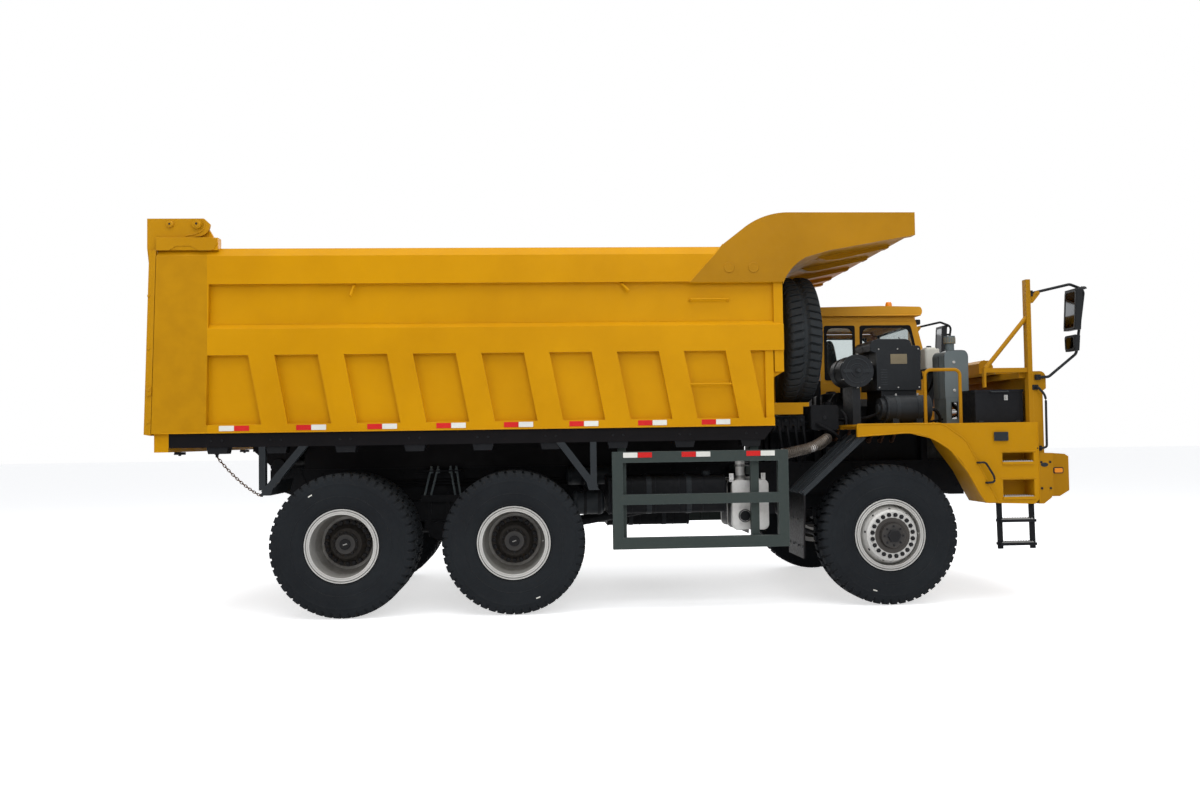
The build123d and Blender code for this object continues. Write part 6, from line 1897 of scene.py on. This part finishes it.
makeRunningGear()
makeBodyUnderside()
makeBehindCab()
makeFenderLips()
print("running gear made")


# ---- tail: lamps and latches; glands of the hoist

tail = {"face": -4.520, "lampZ": 1.700, "lamps": (("red", 1.40, 0.12), ("amber", 1.275, 0.10),
                                                  ("white", 1.155, 0.10)),
        "round": 1.56, "stripY": (0.42, 0.565, 0.71), "jawY": (-1.10, 1.10, 0.0),
        "jaw": [(-4.512, 1.625), (-4.470, 1.625), (-4.470, 1.612), (-4.420, 1.612), (-4.420, 1.585),
                (-4.520, 1.585)],
        # gate bars: height of the lowest, of the top one, and how many; weld runs across
        "barZ": (1.775, 3.43, 4), "weldY": (-1.56, 1.08, 6), "weldLong": 0.46}


def makeTail():
    # lamps and reflecting strips on the tail beam, jaws of the gate latches
    red, amber, white, black, jaws = benches(5)
    face, z = tail["face"], tail["lampZ"]
    lenses = {"red": red, "amber": amber, "white": white}
    for side in (-1, 1):
        plate(black, rounded(0.42, 0.135, 0.02) + (side * 1.28, z), "x", face - 0.012, face + 0.002)
        for colour, y, wide in tail["lamps"]:
            plate(lenses[colour], rounded(wide, 0.10, 0.016) + (side * y, z), "x", face - 0.026, face - 0.010)
        plate(red, ring(1.0, 28) * 0.030 + (side * tail["round"], z), "x", face - 0.008, face + 0.002)
        for bench, y in zip((red, white, red), tail["stripY"]):
            plate(bench, rounded(0.14, 0.05, 0.004) + (side * y, z), "x", face - 0.004, face + 0.001)
    for y in tail["jawY"]:
        plate(jaws, tail["jaw"], "y", y - 0.03, y + 0.03)
        nut(jaws, (-4.47, y, 1.585), 0.026, 0.012, (0, 0, -1))
    red.make("tailLampsRed", "redReflector", "dump_body", bevel=0.002)
    amber.make("tailLampsAmber", "amberLens", "dump_body", bevel=0.002)
    white.make("tailLampsWhite", "whiteReflector", "dump_body", bevel=0.002)
    black.make("tailLampBodies", "blackPlastic", "dump_body", bevel=0.002)
    jaws.make("gateJaws", "chassisBlack", "dump_body", bevel=0.003)


def makeGateWelds():
    # beads between the gate's bars and uprights; the gate's face leans by 0.05 over its height
    beads = Bench()
    long = tail["weldLong"]
    for z in np.linspace(*tail["barZ"]):
        x = -4.586 + 0.05 * (z - 1.79) / 1.77
        for y in np.linspace(*tail["weldY"]):
            weld(beads, (x, y, z + 0.004), (x, y + long, z + 0.004), 0.004)
    beads.make("gateWelds", "shadedYellowPaint", "tailgate", smooth=60)


# cylinder foot and eye, Y of both cylinders, rings (place along, radius), and places of both ports
hoist = {"base": (-0.650, 0.0, 1.000), "eye": (0.700, 0.0, 1.560), "y": (-0.200, 0.200),
         "rings": ((0.07, 0.098), (1.30, 0.099), (1.345, 0.096)), "ports": (0.16, 1.22)}


def makeGlands():
    base, eye = np.array(hoist["base"]), np.array(hoist["eye"])
    way = (eye - base) / np.linalg.norm(eye - base)
    across = np.cross(way, (0, 1, 0))
    steel, hose = benches(2)
    for y in hoist["y"]:
        def at(run):
            return base + way * run + (0, y, 0)
        for run, r in hoist["rings"]:
            hoop(steel, at(run), way, r, 0.007, 40, 8)
        for c, s in circle(10, 1.0):
            out = np.array((0, c, 0)) + across * s
            nut(steel, at(1.322) + out * 0.094, 0.018, 0.012, out)
        for run in hoist["ports"]:
            disc(steel, at(run) + across * 0.094, across, 0.022, 0.03, 0.005, 16)
        path = [at(run) + across * off for run,
                off in ((0.16, 0.118), (0.20, 0.140), (0.9, 0.132), (1.22, 0.122))]
        tube(hose, path, 0.012, 0.04, 10)
    steel.make("hoistGlands", "engineBlack", "hoist_barrels", smooth=35)
    hose.make("hoistPipes", "steelPipe", "hoist_barrels", smooth=50, slot="rim_silver")


makeTail()
makeGateWelds()
makeGlands()
print("tail and hoist made")


# ---- driver's seat

seat = {"y": 0.76, "cushion": (2.905, 2.270), "back": (2.69, 2.59), "lean": -8, "channels": (-0.24, 0.24),
        "folds": 5}


def cushionShape(long, wide, thick, channels, steps=28):
    # superellipse pad: |x|^4 + |y|^4 rounding in plan, crowned top, channels pressed in by a raised cosine
    u = np.linspace(0, 2 * math.pi, steps * 2, endpoint=False)
    v = np.linspace(-math.pi / 2, math.pi / 2, steps)
    v, u = np.meshgrid(v, u, indexing="ij")
    power = 0.38
    c, s = np.cos(u), np.sin(u)
    edge = np.abs(np.cos(v)) ** 0.45
    x = np.sign(c) * np.abs(c) ** power * edge * long / 2
    y = np.sign(s) * np.abs(s) ** power * edge * wide / 2
    z = np.sign(np.sin(v)) * np.abs(np.sin(v)) ** 0.8 * thick / 2
    crown = 1 - 0.22 * ((2 * x / long) ** 2 + (2 * y / wide) ** 2)
    pressed = np.zeros_like(x)
    for at in channels:
        pressed += np.exp(-((y / wide - at) / 0.022) ** 2)
    z = np.where(z > 0, z * crown - pressed * thick * 0.13 * (z > thick * 0.1), z)
    points = np.stack([x, y, z], -1).reshape(-1, 3)
    return points, gridFaces(steps, steps * 2, False, True)


def makeCushion(name, size, place, turn=((1, 0, 0), (0, 1, 0), (0, 0, 1))):
    points, faces = cushionShape(*size, seat["channels"])
    bench = Bench()
    bench.add(points @ np.array(turn) + (place[0], seat["y"], place[1]), faces)
    pad = bench.make(name, "seatCloth", "chassis", smooth=60, slot="seat_cloth", merge=1e-4)
    return pad


def makeSeat():
    lean = math.radians(seat["lean"])
    c, s = math.cos(lean), math.sin(lean)
    pan = makeCushion("seatCushion", (0.50, 0.48, 0.115), seat["cushion"])
    back = makeCushion("seatBack", (0.50, 0.46, 0.11), seat["back"], ((s, 0, c), (0, 1, 0), (c, 0, -s)))
    # foot, folded bellows and the pan's plate
    bench = Bench()
    plate(bench, rounded(0.40, 0.36, 0.03) + (2.92, seat["y"]), "z", 1.836, 1.87)
    for k in range(seat["folds"]):
        less, z = 0.02 * (k % 2), 1.87 + 0.062 * k
        plate(bench, rounded(0.36 - less, 0.32 - less, 0.03) + (2.92, seat["y"]), "z", z, z + 0.055)
    plate(bench, rounded(0.46, 0.42, 0.04) + (2.91, seat["y"]), "z", 2.18, 2.213)
    base = bench.make("seatBase", "blackPlastic", bevel=0.006)
    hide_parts("driver_seat")
    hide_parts("driver_seat")
    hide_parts("driver_seat")


makeSeat()
print("seat made")
